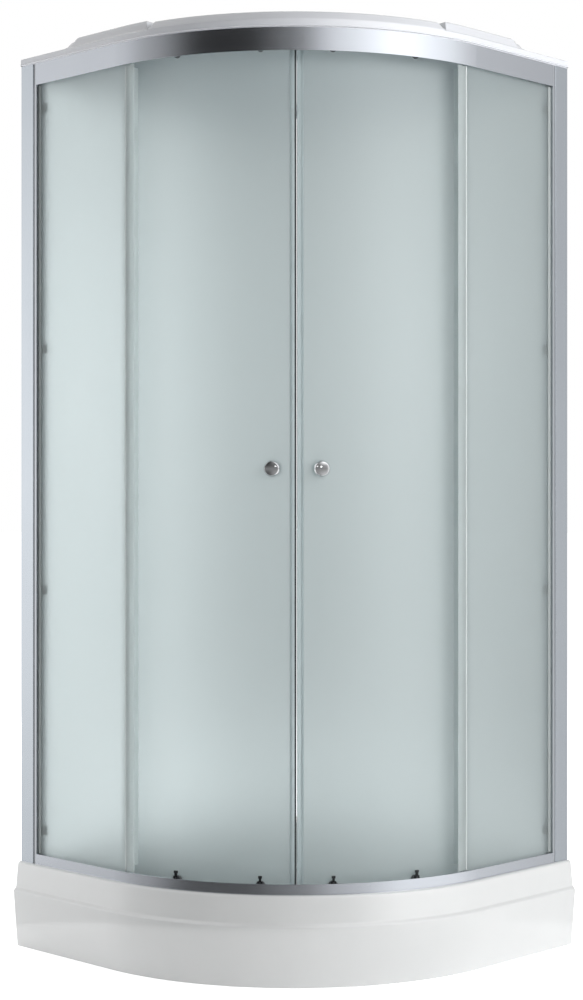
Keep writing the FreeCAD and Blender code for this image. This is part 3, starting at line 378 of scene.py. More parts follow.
class Shop:
    """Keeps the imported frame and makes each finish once."""

    def __init__(self, frame: dict[str, Any]) -> None:
        """Keep the frame and read which slot each node is in."""
        self.nodes: dict[str, bpy.types.Object] = frame["nodes"]
        self.slots: dict[str, str] = {p["node"]: p["material_slot"] for p in frame["record"]["subparts"]}
        self.made: dict[str, bpy.types.Material] = {}

    def material(self, finish: Finish) -> bpy.types.Material:
        """Give the material of a finish, made on first use."""
        if finish.name not in self.made:
            self.made[finish.name] = finish.make()
        return self.made[finish.name]

    def dress(self, node: str, finish: Finish | None = None) -> None:
        """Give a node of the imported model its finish.

        Args:
            node: The node's name.
            finish: The finish, or None for the one of the node's slot.
        """
        thing = self.nodes[node]
        finish = finish or SLOT_FINISHES[self.slots[node]]
        thing.data.materials.clear()
        thing.data.materials.append(self.material(finish))
        LOG.info("%s: kept, in %s", node, finish.name)

    def place(
        self,
        name: str,
        mesh: bmesh.types.BMesh,
        body: str,
        slot: str,
        finish: Finish | None = None,
        instead_of: Sequence[str] = (),
        crease: float = 32.0,
    ) -> bpy.types.Object:
        """Turn a mesh into a piece of the enclosure.

        Args:
            name: The piece's name.
            mesh: Its mesh, in metres. It is freed.
            body: The body that it moves with.
            slot: The record's slot that its finish belongs to.
            finish: The finish, or None for the slot's own.
            instead_of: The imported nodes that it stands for.
            crease: The angle in degrees above which an edge stays sharp.

        Returns:
            The new object.
        """
        bmesh.ops.remove_doubles(mesh, verts=mesh.verts, dist=1e-6)
        bmesh.ops.dissolve_degenerate(mesh, edges=mesh.edges, dist=1e-6)
        bmesh.ops.recalc_face_normals(mesh, faces=mesh.faces)
        thing = stand(name, mesh, self.material(finish or SLOT_FINISHES[slot]))
        thing.data.shade_smooth()
        thing.data.set_sharp_from_angle(angle=math.radians(crease))
        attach(thing, body)
        if instead_of:
            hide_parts(*instead_of)
        LOG.info("%s: %d faces on %s", name, len(thing.data.polygons), body)
        return thing


# ------------------------------------------------------------------------------------------ mesh helpers


def turns(count: int) -> list[float]:
    """Give the angles in radians of one turn in equal steps."""
    return [2 * math.pi * i / count for i in range(count)]


def spoke(axis: Pair, radius: float, angle: float, z: float) -> Vector:
    """Give the point in metres at a radius and an angle from an upright axis."""
    return Vector((axis[0] + radius * math.cos(angle), axis[1] + radius * math.sin(angle), z)) * MM


def hoop(x: float, radius: float, segments: int, seat: Matrix) -> Ring:
    """Give a ring about the x axis of a seat, in metres."""
    return [seat @ (Vector((x, radius * math.cos(a), radius * math.sin(a))) * MM) for a in turns(segments)]


def upright(x: float, y: float, z: float = 0.0) -> Matrix:
    """Give the seat that stands a turned piece on its end."""
    return Matrix.Translation(Vector((x, y, z)) * MM) @ Matrix.Rotation(math.radians(-90), 4, "Y")


def skin(
    mesh: bmesh.types.BMesh,
    rings: Sequence[Ring],
    closed: bool = True,
    looped: bool = False,
    capped: bool = False,
) -> None:
    """Add faces between rings of points.

    Args:
        mesh: The mesh that gets them.
        rings: Rings with the same number of points.
        closed: Whether each ring's last point joins its first.
        looped: Whether the last ring joins the first.
        capped: Whether a face closes the first and the last ring.
    """
    made = [[mesh.verts.new(point) for point in ring] for ring in rings]
    pairs = list(zip(made, made[1:])) + ([(made[-1], made[0])] if looped else [])
    count = len(made[0])
    for low, high in pairs:
        for i in range(count if closed else count - 1):
            j = (i + 1) % count
            mesh.faces.new((low[i], low[j], high[j], high[i]))
    if capped:
        cap(mesh, rings[0])
        cap(mesh, rings[-1])


def cap(mesh: bmesh.types.BMesh, ring: Ring) -> None:
    """Close a ring of points with one face."""
    mesh.faces.new([mesh.verts.new(point) for point in ring])


def rounded(corners: Sequence[tuple[float, float, float]], steps: int = 5, closed: bool = False) -> list[Pair]:
    """Round the corners of a path.

    Args:
        corners: The path's corners, each (x, y, radius).
        steps: How many chords each rounded corner has.
        closed: Whether the path comes back to its first corner.

    Returns:
        The points of the path.
    """
    points: list[Pair] = []
    if closed:
        corners = [corners[-1], *corners, corners[0]]
    else:
        points.append(corners[0][:2])
    for before, here, after in zip(corners, corners[1:], corners[2:]):
        corner, radius = Vector(here[:2]), here[2]
        back, ahead = (Vector(before[:2]) - corner), (Vector(after[:2]) - corner)
        if radius <= 0 or back.length == 0 or ahead.length == 0:
            points.append((corner.x, corner.y))
            continue
        half = back.angle(ahead) / 2
        reach = min(radius / math.tan(half), back.length * 0.49, ahead.length * 0.49)
        start, end = corner + back.normalized() * reach, corner + ahead.normalized() * reach
        for step in range(steps + 1):
            t = step / steps
            bend = start.lerp(corner, t).lerp(corner.lerp(end, t), t)
            points.append((bend.x, bend.y))
    if not closed:
        points.append(corners[-1][:2])
    return points


def bar(
    mesh: bmesh.types.BMesh,
    section: Sequence[Pair],
    low: float,
    high: float,
    place: Callable[[float, float], Pair],
    ease: float = 0.35,
) -> None:
    """Stand an extruded bar on its end, with its arrises eased.

    Args:
        mesh: The mesh that gets the faces.
        section: The corners of its section, in millimetres.
        low: The height of its foot.
        high: The height of its top.
        place: Turns a point of the section into a point of the plan.
        ease: The radius of the arrises.
    """
    outline = rounded([(a, b, ease) for a, b in section], 3, closed=True)
    plan = [place(a, b) for a, b in outline]
    skin(mesh, [[Vector((x, y, z)) * MM for x, y in plan] for z in (low, high)], capped=True)


def lathe(mesh: bmesh.types.BMesh, profile: Sequence[Pair], segments: int, seat: Matrix) -> None:
    """Turn a profile about the x axis of a seat.

    Args:
        mesh: The mesh that gets the faces.
        profile: Points of (x, radius) in millimetres, from one end to the other.
        segments: How many sides a turn has.
        seat: Where the turned piece goes, in metres.
    """
    skin(mesh, [hoop(x, radius, segments, seat) for x, radius in profile])


def tube(mesh: bmesh.types.BMesh, path: Sequence[Vector], radius: float, sides: int = 8) -> None:
    """Run a round wire along a path.

    Args:
        mesh: The mesh that gets the faces.
        path: The path's points, in millimetres.
        radius: The wire's radius, in millimetres.
        sides: How many sides the wire has.
    """
    rings: list[Ring] = []
    for i, point in enumerate(path):
        ahead = (path[min(i + 1, len(path) - 1)] - path[max(i - 1, 0)]).normalized()
        side = ahead.cross(Vector((0, 0, 1))).normalized()
        up = side.cross(ahead)
        rings.append([(point + (side * math.cos(a) + up * math.sin(a)) * radius) * MM for a in turns(sides)])
    skin(mesh, rings, capped=True)


def graded(low: float, high: float, edges: Iterable[float], near: float, fine: float, coarse: float) -> list[float]:
    """Space values along a line, close together near some edges.

    Args:
        low: The first value.
        high: The last value.
        edges: Values that are kept, and near which the spacing is fine.
        near: How far the fine spacing reaches from each edge.
        fine: The fine spacing.
        coarse: The spacing elsewhere.

    Returns:
        The values in rising order.
    """
    kept = sorted({low, high, *(e for e in edges if low < e < high)})
    marks = sorted({*kept, *(v for e in edges for v in (e - near, e + near) if low < v < high)})
    values: list[float] = []
    for start, end in zip(marks, marks[1:]):
        middle = (start + end) / 2
        pitch = fine if any(abs(middle - e) < near for e in edges) else coarse
        count = max(1, math.ceil((end - start) / pitch))
        values += [start + (end - start) * i / count for i in range(count)]
    return values + [high]


# -------------------------------------------------------------------------------------------------- plan


class Side(Enum):
    """Which side a piece is on, with the direction in which its angles grow."""

    LEFT = ("left", -1)
    RIGHT = ("right", 1)


@dataclass(frozen=True)
class Plan:
    """The quadrant's plan: two walls, two straight sides and a curved front."""

    wall: float = 450.0
    reach: float = 427.0
    radius: float = 550.0
    centre: Pair = (-123.0, 123.0)
    drain: Pair = (89.132, -89.132)
    side_steps: int = 26
    arc_steps: int = 84
    corner_steps: int = 8
    wall_steps: int = 30

    def loop(self, proud: float, inset: float = 0.0, corner: float = 1.0) -> list[Pair]:
        """Give the closed plan, moved out at the front and in at the walls.

        Args:
            proud: How far the front and the sides move out from the frame's face.
            inset: How far the wall sides move in from the walls.
            corner: The radius of the three corners at the walls.

        Returns:
            Points of (x, y), always the same number of them.
        """
        back, reach = self.wall - inset, self.reach + proud
        x, y = self.centre
        points: list[Pair] = []

        def straight(first: Pair, last: Pair, steps: int) -> None:
            """Add a straight run without its last point."""
            for i in range(steps):
                t = i / steps
                points.append((first[0] + (last[0] - first[0]) * t, first[1] + (last[1] - first[1]) * t))

        def bend(middle: Pair, radius: float, start: float, steps: int) -> None:
            """Add a quarter turn without its last point."""
            for i in range(steps):
                turn = math.radians(start + 90 * i / steps)
                points.append((middle[0] + radius * math.cos(turn), middle[1] + radius * math.sin(turn)))

        straight((-back + corner, -reach), (x, -reach), self.side_steps)
        bend(self.centre, self.radius + proud, -90, self.arc_steps)
        straight((reach, y), (reach, back - corner), self.side_steps)
        bend((reach - corner, back - corner), corner, 0, self.corner_steps)
        straight((reach - corner, back), (-back + corner, back), self.wall_steps)
        bend((-back + corner, back - corner), corner, 90, self.corner_steps)
        straight((-back, back - corner), (-back, -reach + corner), self.wall_steps)
        bend((-back + corner, -reach + corner), corner, 180, self.corner_steps)
        return points

    def at_wall(self) -> list[bool]:
        """Say for each point of the loop whether it is on the wall sides."""
        front = 2 * self.side_steps + self.arc_steps
        half = self.corner_steps // 2
        total = front + 3 * self.corner_steps + 2 * self.wall_steps
        return [front + half <= i < total - half for i in range(total)]

    def on_side(self, side: "Side") -> Callable[[float, float], Pair]:
        """Give the plan place of (distance from the wall, depth from the face) on a straight side."""
        if side is Side.LEFT:
            return lambda along, depth: (-self.wall + along, -self.reach + depth)
        return lambda along, depth: (self.reach - depth, self.wall - along)

    def on_arc(self, turn: float, depth: float) -> Pair:
        """Give the plan place at an angle in radians about the curve's centre and a depth from its face."""
        out = self.radius - depth
        return self.centre[0] + out * math.cos(turn), self.centre[1] + out * math.sin(turn)

    def on_curve(self, side: "Side", start: float) -> Callable[[float, float], Pair]:
        """Give the plan place of (depth, distance along the curve from a start angle) on one door."""
        first = math.radians(side.value[1] * start - 45)
        return lambda depth, along: self.on_arc(first + side.value[1] * along / (self.radius - depth), depth)

    def seat(self, degrees: float, depth: float, height: float) -> Matrix:
        """Give the seat of a piece on the curve.

        Args:
            degrees: The angle from the meeting line of the doors, positive to the right.
            depth: How far inwards from the frame's face.
            height: Above the floor.

        Returns:
            A matrix in metres that turns local x to point outwards.
        """
        turn = math.radians(degrees - 45)
        point = Vector((*self.on_arc(turn, depth), height))
        return Matrix.Translation(point * MM) @ Matrix.Rotation(turn, 4, "Z")


PLAN = Plan()


# -------------------------------------------------------------------------------------------------- tray


@dataclass
class Tray:
    """The moulded tray: a stepped apron, a rim that carries the frame, and a sloped basin."""

    shop: Shop
    height: float = 190.0
    step: float = 130.0
    skin: float = 4.0
    foot: float = 12.0
    step_out: float = 23.0
    band_foot: float = 16.0
    band_top: float = 10.0
    rim_wall: float = 45.0
    rim_front: float = 56.0
    floor: float = 75.0
    slope: float = 8.0
    corner: float = 60.0
    rim_back: float = 30.0
    floor_steps: int = 8
    floor_drop: float = 2.2
    drain_bore: float = 45.0
    cover_thick: float = 1.4

    def ring(self, proud: float, inset: float, z: float, wall_z: float, corner: float = 1.0) -> Ring:
        """Give a ring of the apron or rim, whose wall sides may stand at another height."""
        sides = zip(PLAN.loop(proud, inset, corner), PLAN.at_wall())
        return [Vector((x, y, wall_z if wall else z)) * MM for (x, y), wall in sides]

    def basin_ring(self, inwards: float, z: float) -> Ring:
        """Give a ring of the basin, a distance inwards from its edge at the rim."""
        corner = self.corner - inwards
        return self.ring(-self.rim_front - inwards, self.rim_wall + inwards, z, z, corner)

    def floor_rings(self, inwards: float, z: float, drop: float, lowered: float = 0.0) -> list[Ring]:
        """Give the rings of the basin's floor, from its edge to the drain.

        Args:
            inwards: How far the floor's edge is from the basin's edge.
            z: The height of the floor's edge.
            drop: How far the floor falls to the drain.
            lowered: How far below the floor these rings are.

        Returns:
            The rings, from the edge inwards.
        """
        x, y = PLAN.drain
        away = [Vector((point.x / MM - x, point.y / MM - y)) for point in self.basin_ring(inwards, z)]
        rings = []
        for step in range(1, self.floor_steps + 1):
            t = step / self.floor_steps
            here = [a.lerp(a.normalized() * self.drain_bore, t) for a in away]
            rings.append([Vector((x + h.x, y + h.y, z - drop * t - lowered)) * MM for h in here])
        return rings

    def build(self) -> None:
        """Build the tray as one closed skin: apron, rim, basin, and the same again on the underside."""
        wall_low, top, step = self.step - self.skin, self.height, self.step
        # Each corner is (out from the frame's face, height, radius of its bend).
        outside = rounded(
            [
                (self.foot - self.skin, 0.0, 0), (self.foot, 0.0, 1.2), (self.step_out, step - 3.0, 5.0),
                (self.band_foot, step + 3.0, 5.0), (self.band_top, top, 7.0), (-self.rim_back, top, 0),
            ], 6,
        )
        rings = []
        for proud, z in outside:
            inset = self.skin if (proud, z) == outside[0] else 0.0
            rings.append(self.ring(proud, inset, z, max(z, wall_low)))
        # Each corner is (in from the basin's edge, height, radius of its bend).
        fall = (top - self.floor - 3) * math.tan(math.radians(self.slope))
        basin = rounded(
            [
                (-12.0, top, 0), (0.0, top, 9.0), (fall, self.floor + 3, 26.0),
                (fall + 45, self.floor + self.floor_drop, 0),
            ], 8,
        )
        rings += [self.basin_ring(inwards, z) for inwards, z in basin]
        edge, low = basin[-1]
        rings += self.floor_rings(edge, low, low - self.floor)
        rings += self.floor_rings(edge, low, low - self.floor, self.skin)[::-1]
        rings += [self.basin_ring(max(inwards - self.skin, -11.0), z - self.skin) for inwards, z in basin[::-1]]
        inside = [
            (-self.rim_back, top - self.skin), (self.band_top - self.skin, top - self.skin),
            (self.band_foot - self.skin, step - self.skin + 0.5), (self.step_out - self.skin, step - self.skin),
            (self.foot - self.skin, 0.0),
        ]
        rings += [self.ring(proud, self.skin, z, max(z, wall_low)) for proud, z in inside]
        mesh = bmesh.new()
        skin(mesh, rings)
        self.shop.place("tray_moulding", mesh, "enclosure", "acrylic_white", instead_of=["tray_shell"], crease=40)
        self.drain_cover()

    def drain_cover(self) -> None:
        """Build the drain's domed cover, with a ring of slots and a rim that beds on the floor."""
        mesh = bmesh.new()
        outer, segments, top = self.drain_bore + 11, 96, self.floor
        dome = rounded(
            [(0.4, outer, 0), (1.6, outer - 0.2, 0.6), (2.6, outer - 5, 2), (6.3, 30, 8), (6.6, 9, 3), (6.6, 6, 0)], 4
        )
        last = len(dome) - 1
        under = [(z - self.cover_thick, max(r - 0.4, 5.6)) for z, r in dome]
        above, below = (
            [[mesh.verts.new(spoke(PLAN.drain, r, a, top + z)) for a in turns(segments)] for z, r in level]
            for level in (dome, under)
        )
        # The slots take two of every six cells in the rows of the cover's slope.
        open_cells = {
            (row, i) for row in range(4, last - 5) for i in range(segments) if i % 6 in (1, 2) and dome[row][1] > 14
        }

        def side(a: tuple[int, int], b: tuple[int, int]) -> None:
            """Join the two surfaces along an edge."""
            (p, i), (q, j) = a, b
            mesh.faces.new((above[p][i], above[q][j], below[q][j], below[p][i]))

        for row in range(last):
            for i in range(segments):
                j = (i + 1) % segments
                if (row, i) in open_cells:
                    continue
                for level in (above, below):
                    mesh.faces.new((level[row][i], level[row][j], level[row + 1][j], level[row + 1][i]))
                if (row, j) in open_cells:
                    side((row, j), (row + 1, j))
                if (row, (i - 1) % segments) in open_cells:
                    side((row, i), (row + 1, i))
                if (row + 1, i) in open_cells:
                    side((row + 1, i), (row + 1, j))
                if (row - 1, i) in open_cells:
                    side((row, i), (row, j))
        for i in range(segments):
            for row in (0, last):
                side((row, i), (row, (i + 1) % segments))
        seat = upright(*PLAN.drain)
        knob = rounded([(top + 5.0, 6.4, 0), (top + 7.4, 6.4, 0.8), (top + 7.4, 2.0, 0.6), (top + 6.6, 0.0, 0)], 3)
        lathe(mesh, [(top + 5.0, 0.0)] + knob, 32, seat)
        skirt = [(62.0, 37.0), (62.0, 40.0), (74.5, 40.0), (74.5, 37.0), (62.0, 37.0)]
        lathe(mesh, skirt, 64, seat)
        self.shop.place("drain_cover", mesh, "enclosure", "chrome_plate", instead_of=["waste_cover"])


@dataclass
class Understructure:
    """What the tray stands on: welded tubes, threaded legs with nuts and feet, and the trap."""

    shop: Shop
    legs: tuple[Pair, ...] = ((-330, 300), (210, 300), (-330, -230), (210, -230), (-60, 60))
    frame_top: float = 71.0
    tube: float = 25.0
    rod_foot: float = 8.0
    nut_tall: float = 8.0
    thread: float = 5.0
    thread_play: float = 0.15
    thread_depth: float = 0.75
    pitch: float = 2.0
    rings_per_pitch: int = 6
    ribs: int = 12

    def legs_and_nuts(self) -> None:
        """Build the threaded rods with a real thread, and their hexagon nuts."""
        mesh = bmesh.new()
        low, high, sides = self.rod_foot, self.frame_top - 3, 20
        count = int((high - low) / self.pitch * self.rings_per_pitch)
        for axis in self.legs:
            rings = []
            for row in range(count + 1):
                z = low + (high - low) * row / count
                ring = []
                for i, a in enumerate(turns(sides)):
                    wave = abs(((z / self.pitch - i / sides) % 1.0) * 2 - 1)
                    ring.append(spoke(axis, self.thread - self.thread_play - self.thread_depth * wave, a, z))
                rings.append(ring)
            skin(mesh, rings, capped=True)
            self.nut(mesh, axis, self.frame_top - self.tube - self.nut_tall)
        self.shop.place("levelling_legs", mesh, "enclosure", "zinc_steel", instead_of=["leg_rods"], crease=25)

    def nut(self, mesh: bmesh.types.BMesh, axis: Pair, z: float) -> None:
        """Add a hexagon nut whose corners are turned off, with its foot at a height."""
        across, angles, tall = self.thread * 1.9, turns(48), self.nut_tall
        rings = []
        for level, trim in ((0.0, 0.93), (0.7, 1.0), (tall - 0.7, 1.0), (tall, 0.93)):
            ring = []
            for a in angles:
                flat = across * math.cos(math.pi / 6) / math.cos((a % (math.pi / 3)) - math.pi / 6)
                ring.append(spoke(axis, min(flat, across * trim), a, z + level))
            rings.append(ring)
        bore = [[spoke(axis, self.thread, a, level) for a in angles] for level in (z + tall, z)]
        skin(mesh, rings + bore, looped=True)

    def feet(self) -> None:
        """Build the five moulded feet, dished under a collar that takes the rod."""
        mesh = bmesh.new()
        profile = rounded(
            [
                (8, 0, 0), (8, 5.2, 0.3), (13.6, 5.2, 0.3), (13.9, 9.6, 1), (7.6, 10.2, 1.6), (5.8, 18.6, 1.5),
                (0.6, 21.8, 1.2), (0, 20, 0.5), (0, 0, 0),
            ], 3,
        )
        for axis in self.legs:
            lathe(mesh, profile, 48, upright(*axis))
        self.shop.place("levelling_feet", mesh, "enclosure", "black_plastic", instead_of=["leg_feet"])

    def trap(self) -> None:
        """Build the trap with its ribbed cup, its union nut and its outlet."""
        mesh = bmesh.new()
        x, y = PLAN.drain
        under = self.frame_top - 2.5
        cup = rounded(
            [
                (8, 0, 0), (8, 41, 4), (under, 41, 0.5), (under, 53, 0.8), (under - 6, 53, 0.8),
                (under - 7, 49, 1), (14, 47.5, 3), (5.4, 44, 4), (5.2, 0, 0),
            ], 4,
        )
        lathe(mesh, cup, 72, upright(x, y))
        along = Matrix.Translation(Vector((x, y, 24)) * MM) @ Matrix.Rotation(math.radians(90), 4, "Z")
        outlet = rounded(
            [
                (40, 13, 0), (107, 13, 0.4), (107, 15.9, 0.6), (66, 15.9, 0.2), (66, 15.9, 0.2),
                (60, 15.9, 0.4), (60, 19.8, 0.8), (46, 19.8, 0.8), (45, 16, 0),
            ], 3,
        )
        lathe(mesh, outlet, 48, along)
        # Each rib's middle, out and up from the drain's axis, and its size.
        rib_out, rib_height, rib_size = 49.4, under - 12, (3.2, 2.2, 11)
        for a in turns(self.ribs):
            rib = bmesh.ops.create_cube(mesh, size=1.0)["verts"]
            seat = (
                Matrix.Translation(Vector((x, y, 0)) * MM)
                @ Matrix.Rotation(a, 4, "Z")
                @ Matrix.Translation(Vector((rib_out, 0, rib_height)) * MM)
                @ Matrix.Diagonal(Vector((*rib_size, 1 / MM)) * MM)
            )
            bmesh.ops.transform(mesh, matrix=seat, verts=rib)
        self.shop.place("trap_body", mesh, "enclosure", "white_plastic", instead_of=["waste_trap"])

    def build(self) -> None:
        """Build the legs, the feet and the trap, and finish the tubes and the seal."""
        self.legs_and_nuts()
        self.feet()
        self.trap()
        for node in ("underframe", "waste_seal"):
            self.shop.dress(node)


# ------------------------------------------------------------------------------------------------- frame


@dataclass
class Screw:
    """A pan-head screw with a cross recess, driven along a direction from the face under its head."""

    place: Vector
    drive: Vector
    head_radius: float
    head_height: float
    shank_radius: float
    shank: float
    domed: float = 0.55
    cross_wide: float = 0.13
    cross_reach: float = 0.57
    sides: int = 32

    def add_to(self, mesh: bmesh.types.BMesh) -> None:
        """Add the screw to a mesh.

        Args:
            mesh: The mesh that gets the faces.
        """
        seat = Matrix.Translation(self.place * MM) @ self.drive.to_track_quat("X", "Z").to_matrix().to_4x4()
        r, h = self.head_radius, self.head_height
        rings: list[Ring] = []
        for share in (0.0, 0.1, 0.16, 0.22, 0.3, 0.4, 0.5, 0.56, 0.62, 0.72, 0.82, 0.9, 0.96, 1.0):
            ring = []
            for a in turns(self.sides):
                y, z = r * share * math.cos(a), r * share * math.sin(a)
                dome = -h + self.domed * h * share**4
                slot = min(abs(y), abs(z)) < r * self.cross_wide and math.hypot(y, z) < r * self.cross_reach
                ring.append(seat @ (Vector((dome + (h * self.domed if slot else 0.0), y, z)) * MM))
            rings.append(ring)
        tip = [(0.0, r), (0.0, self.shank_radius), (self.shank - 2, self.shank_radius), (self.shank, 0.2)]
        rings += [hoop(x, radius, self.sides, seat) for x, radius in tip]
        skin(mesh, rings)
        cap(mesh, rings[-1])

    def mirrored(self) -> "Screw":
        """Give the same screw on the other side of the enclosure."""
        return replace(self, place=self.across(self.place), drive=self.across(self.drive))

    @staticmethod
    def across(point: Vector) -> Vector:
        """Mirror a point or a direction to the other side of the enclosure."""
        return Vector((-point.y, -point.x, point.z))


@dataclass
class Frame:
    """The aluminium frame: rails, wall channels, posts and what fastens them."""

    shop: Shop
    face: float = -427.0
    side_heights: tuple[float, ...] = (265.0, 806.0, 1348.0, 1890.0)
    rail_heights: tuple[float, ...] = (1986.8, 192.75)
    nosing: Pair = (190.4, 1989.6)

    def screws(self) -> None:
        """Build the screws of the posts, the clips and the rails."""
        mesh = bmesh.new()
        # Each size is the head's radius and height and the shank's radius.
        pan, small = (3.4, 2.2, 1.55), (2.5, 2.4, 1.5)
        left: list[Screw] = []
        for z in self.side_heights:
            left.append(Screw(Vector((-420, self.face + 36, z)), Vector((0, -1, 0)), *pan, 6))
            left.append(Screw(Vector((-394, self.face + 27, z)), Vector((-1, 0, 0)), *pan, 8))
        for z in self.rail_heights:
            left.append(Screw(Vector((-413.5, self.face + 11.75, z)), Vector((1, 0, 0)), *small, 30))
        for screw in left:
            screw.add_to(mesh)
            screw.mirrored().add_to(mesh)
        self.shop.place("frame_fixings", mesh, "enclosure", "zinc_steel", instead_of=["frame_screws"])

    def nosings(self) -> None:
        """Build the rounded lip that runs down the front edge of each wall channel, over the post."""
        section = [(42.02, 0.1), (42.9, 0.25), (43.7, 0.8), (44.1, 1.9), (42.02, 1.9)]
        for side in Side:
            mesh = bmesh.new()
            bar(mesh, section, *self.nosing, PLAN.on_side(side), 0.3)
            self.shop.place(f"channel_nosing_{side.value[0]}", mesh, "enclosure", "satin_aluminium")

    def build(self) -> None:
        """Finish the bars and build the lips and the screws."""
        for node in ("head_rail", "sill_rail"):
            self.shop.dress(node, ANODISED_LEVEL)
        for side in ("left", "right"):
            for node in ("wall_channel", "roof_angle"):
                self.shop.dress(f"{node}_{side}")
            # The posts' finish is more matt, and its darker colour is painted shade.
            self.shop.dress(f"post_{side}", ANODISED_POST_PAINTED_SHADE)
        self.nosings()
        self.screws()


@dataclass
class FixedPanels:
    """The flat fixed panes with their gaskets, edge strips and clips."""

    shop: Shop
    low: float = 213.0
    high: float = 1941.0
    post_face: float = 52.0
    strip: Pair = (350.0, 371.0)
    foot_cut: float = 14.0
    head_cut: float = 6.0

    def gaskets(self) -> None:
        """Build the rubber between each post and its pane, with a rounded lip over the glass."""
        post = self.post_face
        section = [
            (post - 14, 8.05), (post + 1, 8.05), (post + 1.2, 6.7), (post + 5, 6.1), (post + 9.5, 8.0),
            (post + 9.5, 9.2), (post - 12, 9.2), (post - 12, 14.3), (post + 4, 14.3), (post + 4, 15.4),
            (post - 14, 15.4),
        ]
        for side in Side:
            mesh = bmesh.new()
            bar(mesh, section, self.low, self.high, PLAN.on_side(side), 0.4)
            name = side.value[0]
            self.shop.place(
                f"post_lip_{name}", mesh, "enclosure", "grey_rubber", PALE_RUBBER, [f"post_gasket_{name}"]
            )

    def strips(self) -> None:
        """Build the clear strip on each pane's free edge, with its lip and its fin towards the door."""
        start, end = self.strip
        near, front, rear = start + 3.2, 7.4, 9.15
        grip = [
            (near, front), (end + 8, front), (end + 8, rear), (end, rear), (end, 27), (end - 1.4, 27),
            (end - 1.4, rear), (end - 11, rear), (end - 11, 16), (start, 16), (start, 14.35),
            (end - 12.6, 14.35), (end - 12.6, rear), (near, rear),
        ]
        nose = [(near, front), (end + 8, front), (end + 8, rear), (near, rear)]
        lip = [
            (start, rear), (start, front - 0.1), (start + 0.8, 6.5), (near - 0.8, 6.5), (near - 0.05, front - 0.1),
            (near - 0.05, rear),
        ]
        for side in Side:
            mesh, bead = bmesh.new(), bmesh.new()
            place, name = PLAN.on_side(side), side.value[0]
            foot, head = self.low + self.foot_cut, self.high - self.head_cut
            for section, low, high in ((grip, foot, head), (nose, self.low, foot), (nose, head, self.high)):
                bar(mesh, section, low, high, place, 0.5)
            bar(bead, lip, self.low, self.high, place, 0.5)
            # The lip's milky white is partly painted highlight along the strip's edge.
            for piece, made, finish in (("strip", mesh, HAZY_VINYL), ("lip", bead, MILKY_LIP_PAINTED_HIGHLIGHT)):
                self.shop.place(
                    f"free_edge_{piece}_{name}", made, "enclosure", "clear_plastic", finish, [f"edge_strip_{name}"]
                )

    def build(self) -> None:
        """Finish the panes and build what holds them."""
        for side in ("left", "right"):
            self.shop.dress(f"fixed_glass_{side}")
        for node in ("glass_clips", "rail_gaskets", "door_stops"):
            self.shop.dress(node)
        self.gaskets()
        self.strips()


# -------------------------------------------------------------------------------------------------- roof


class Run(Enum):
    """The three runs of the roof's front edge."""

    LEFT = "left side"
    FRONT = "curved front"
    RIGHT = "right side"


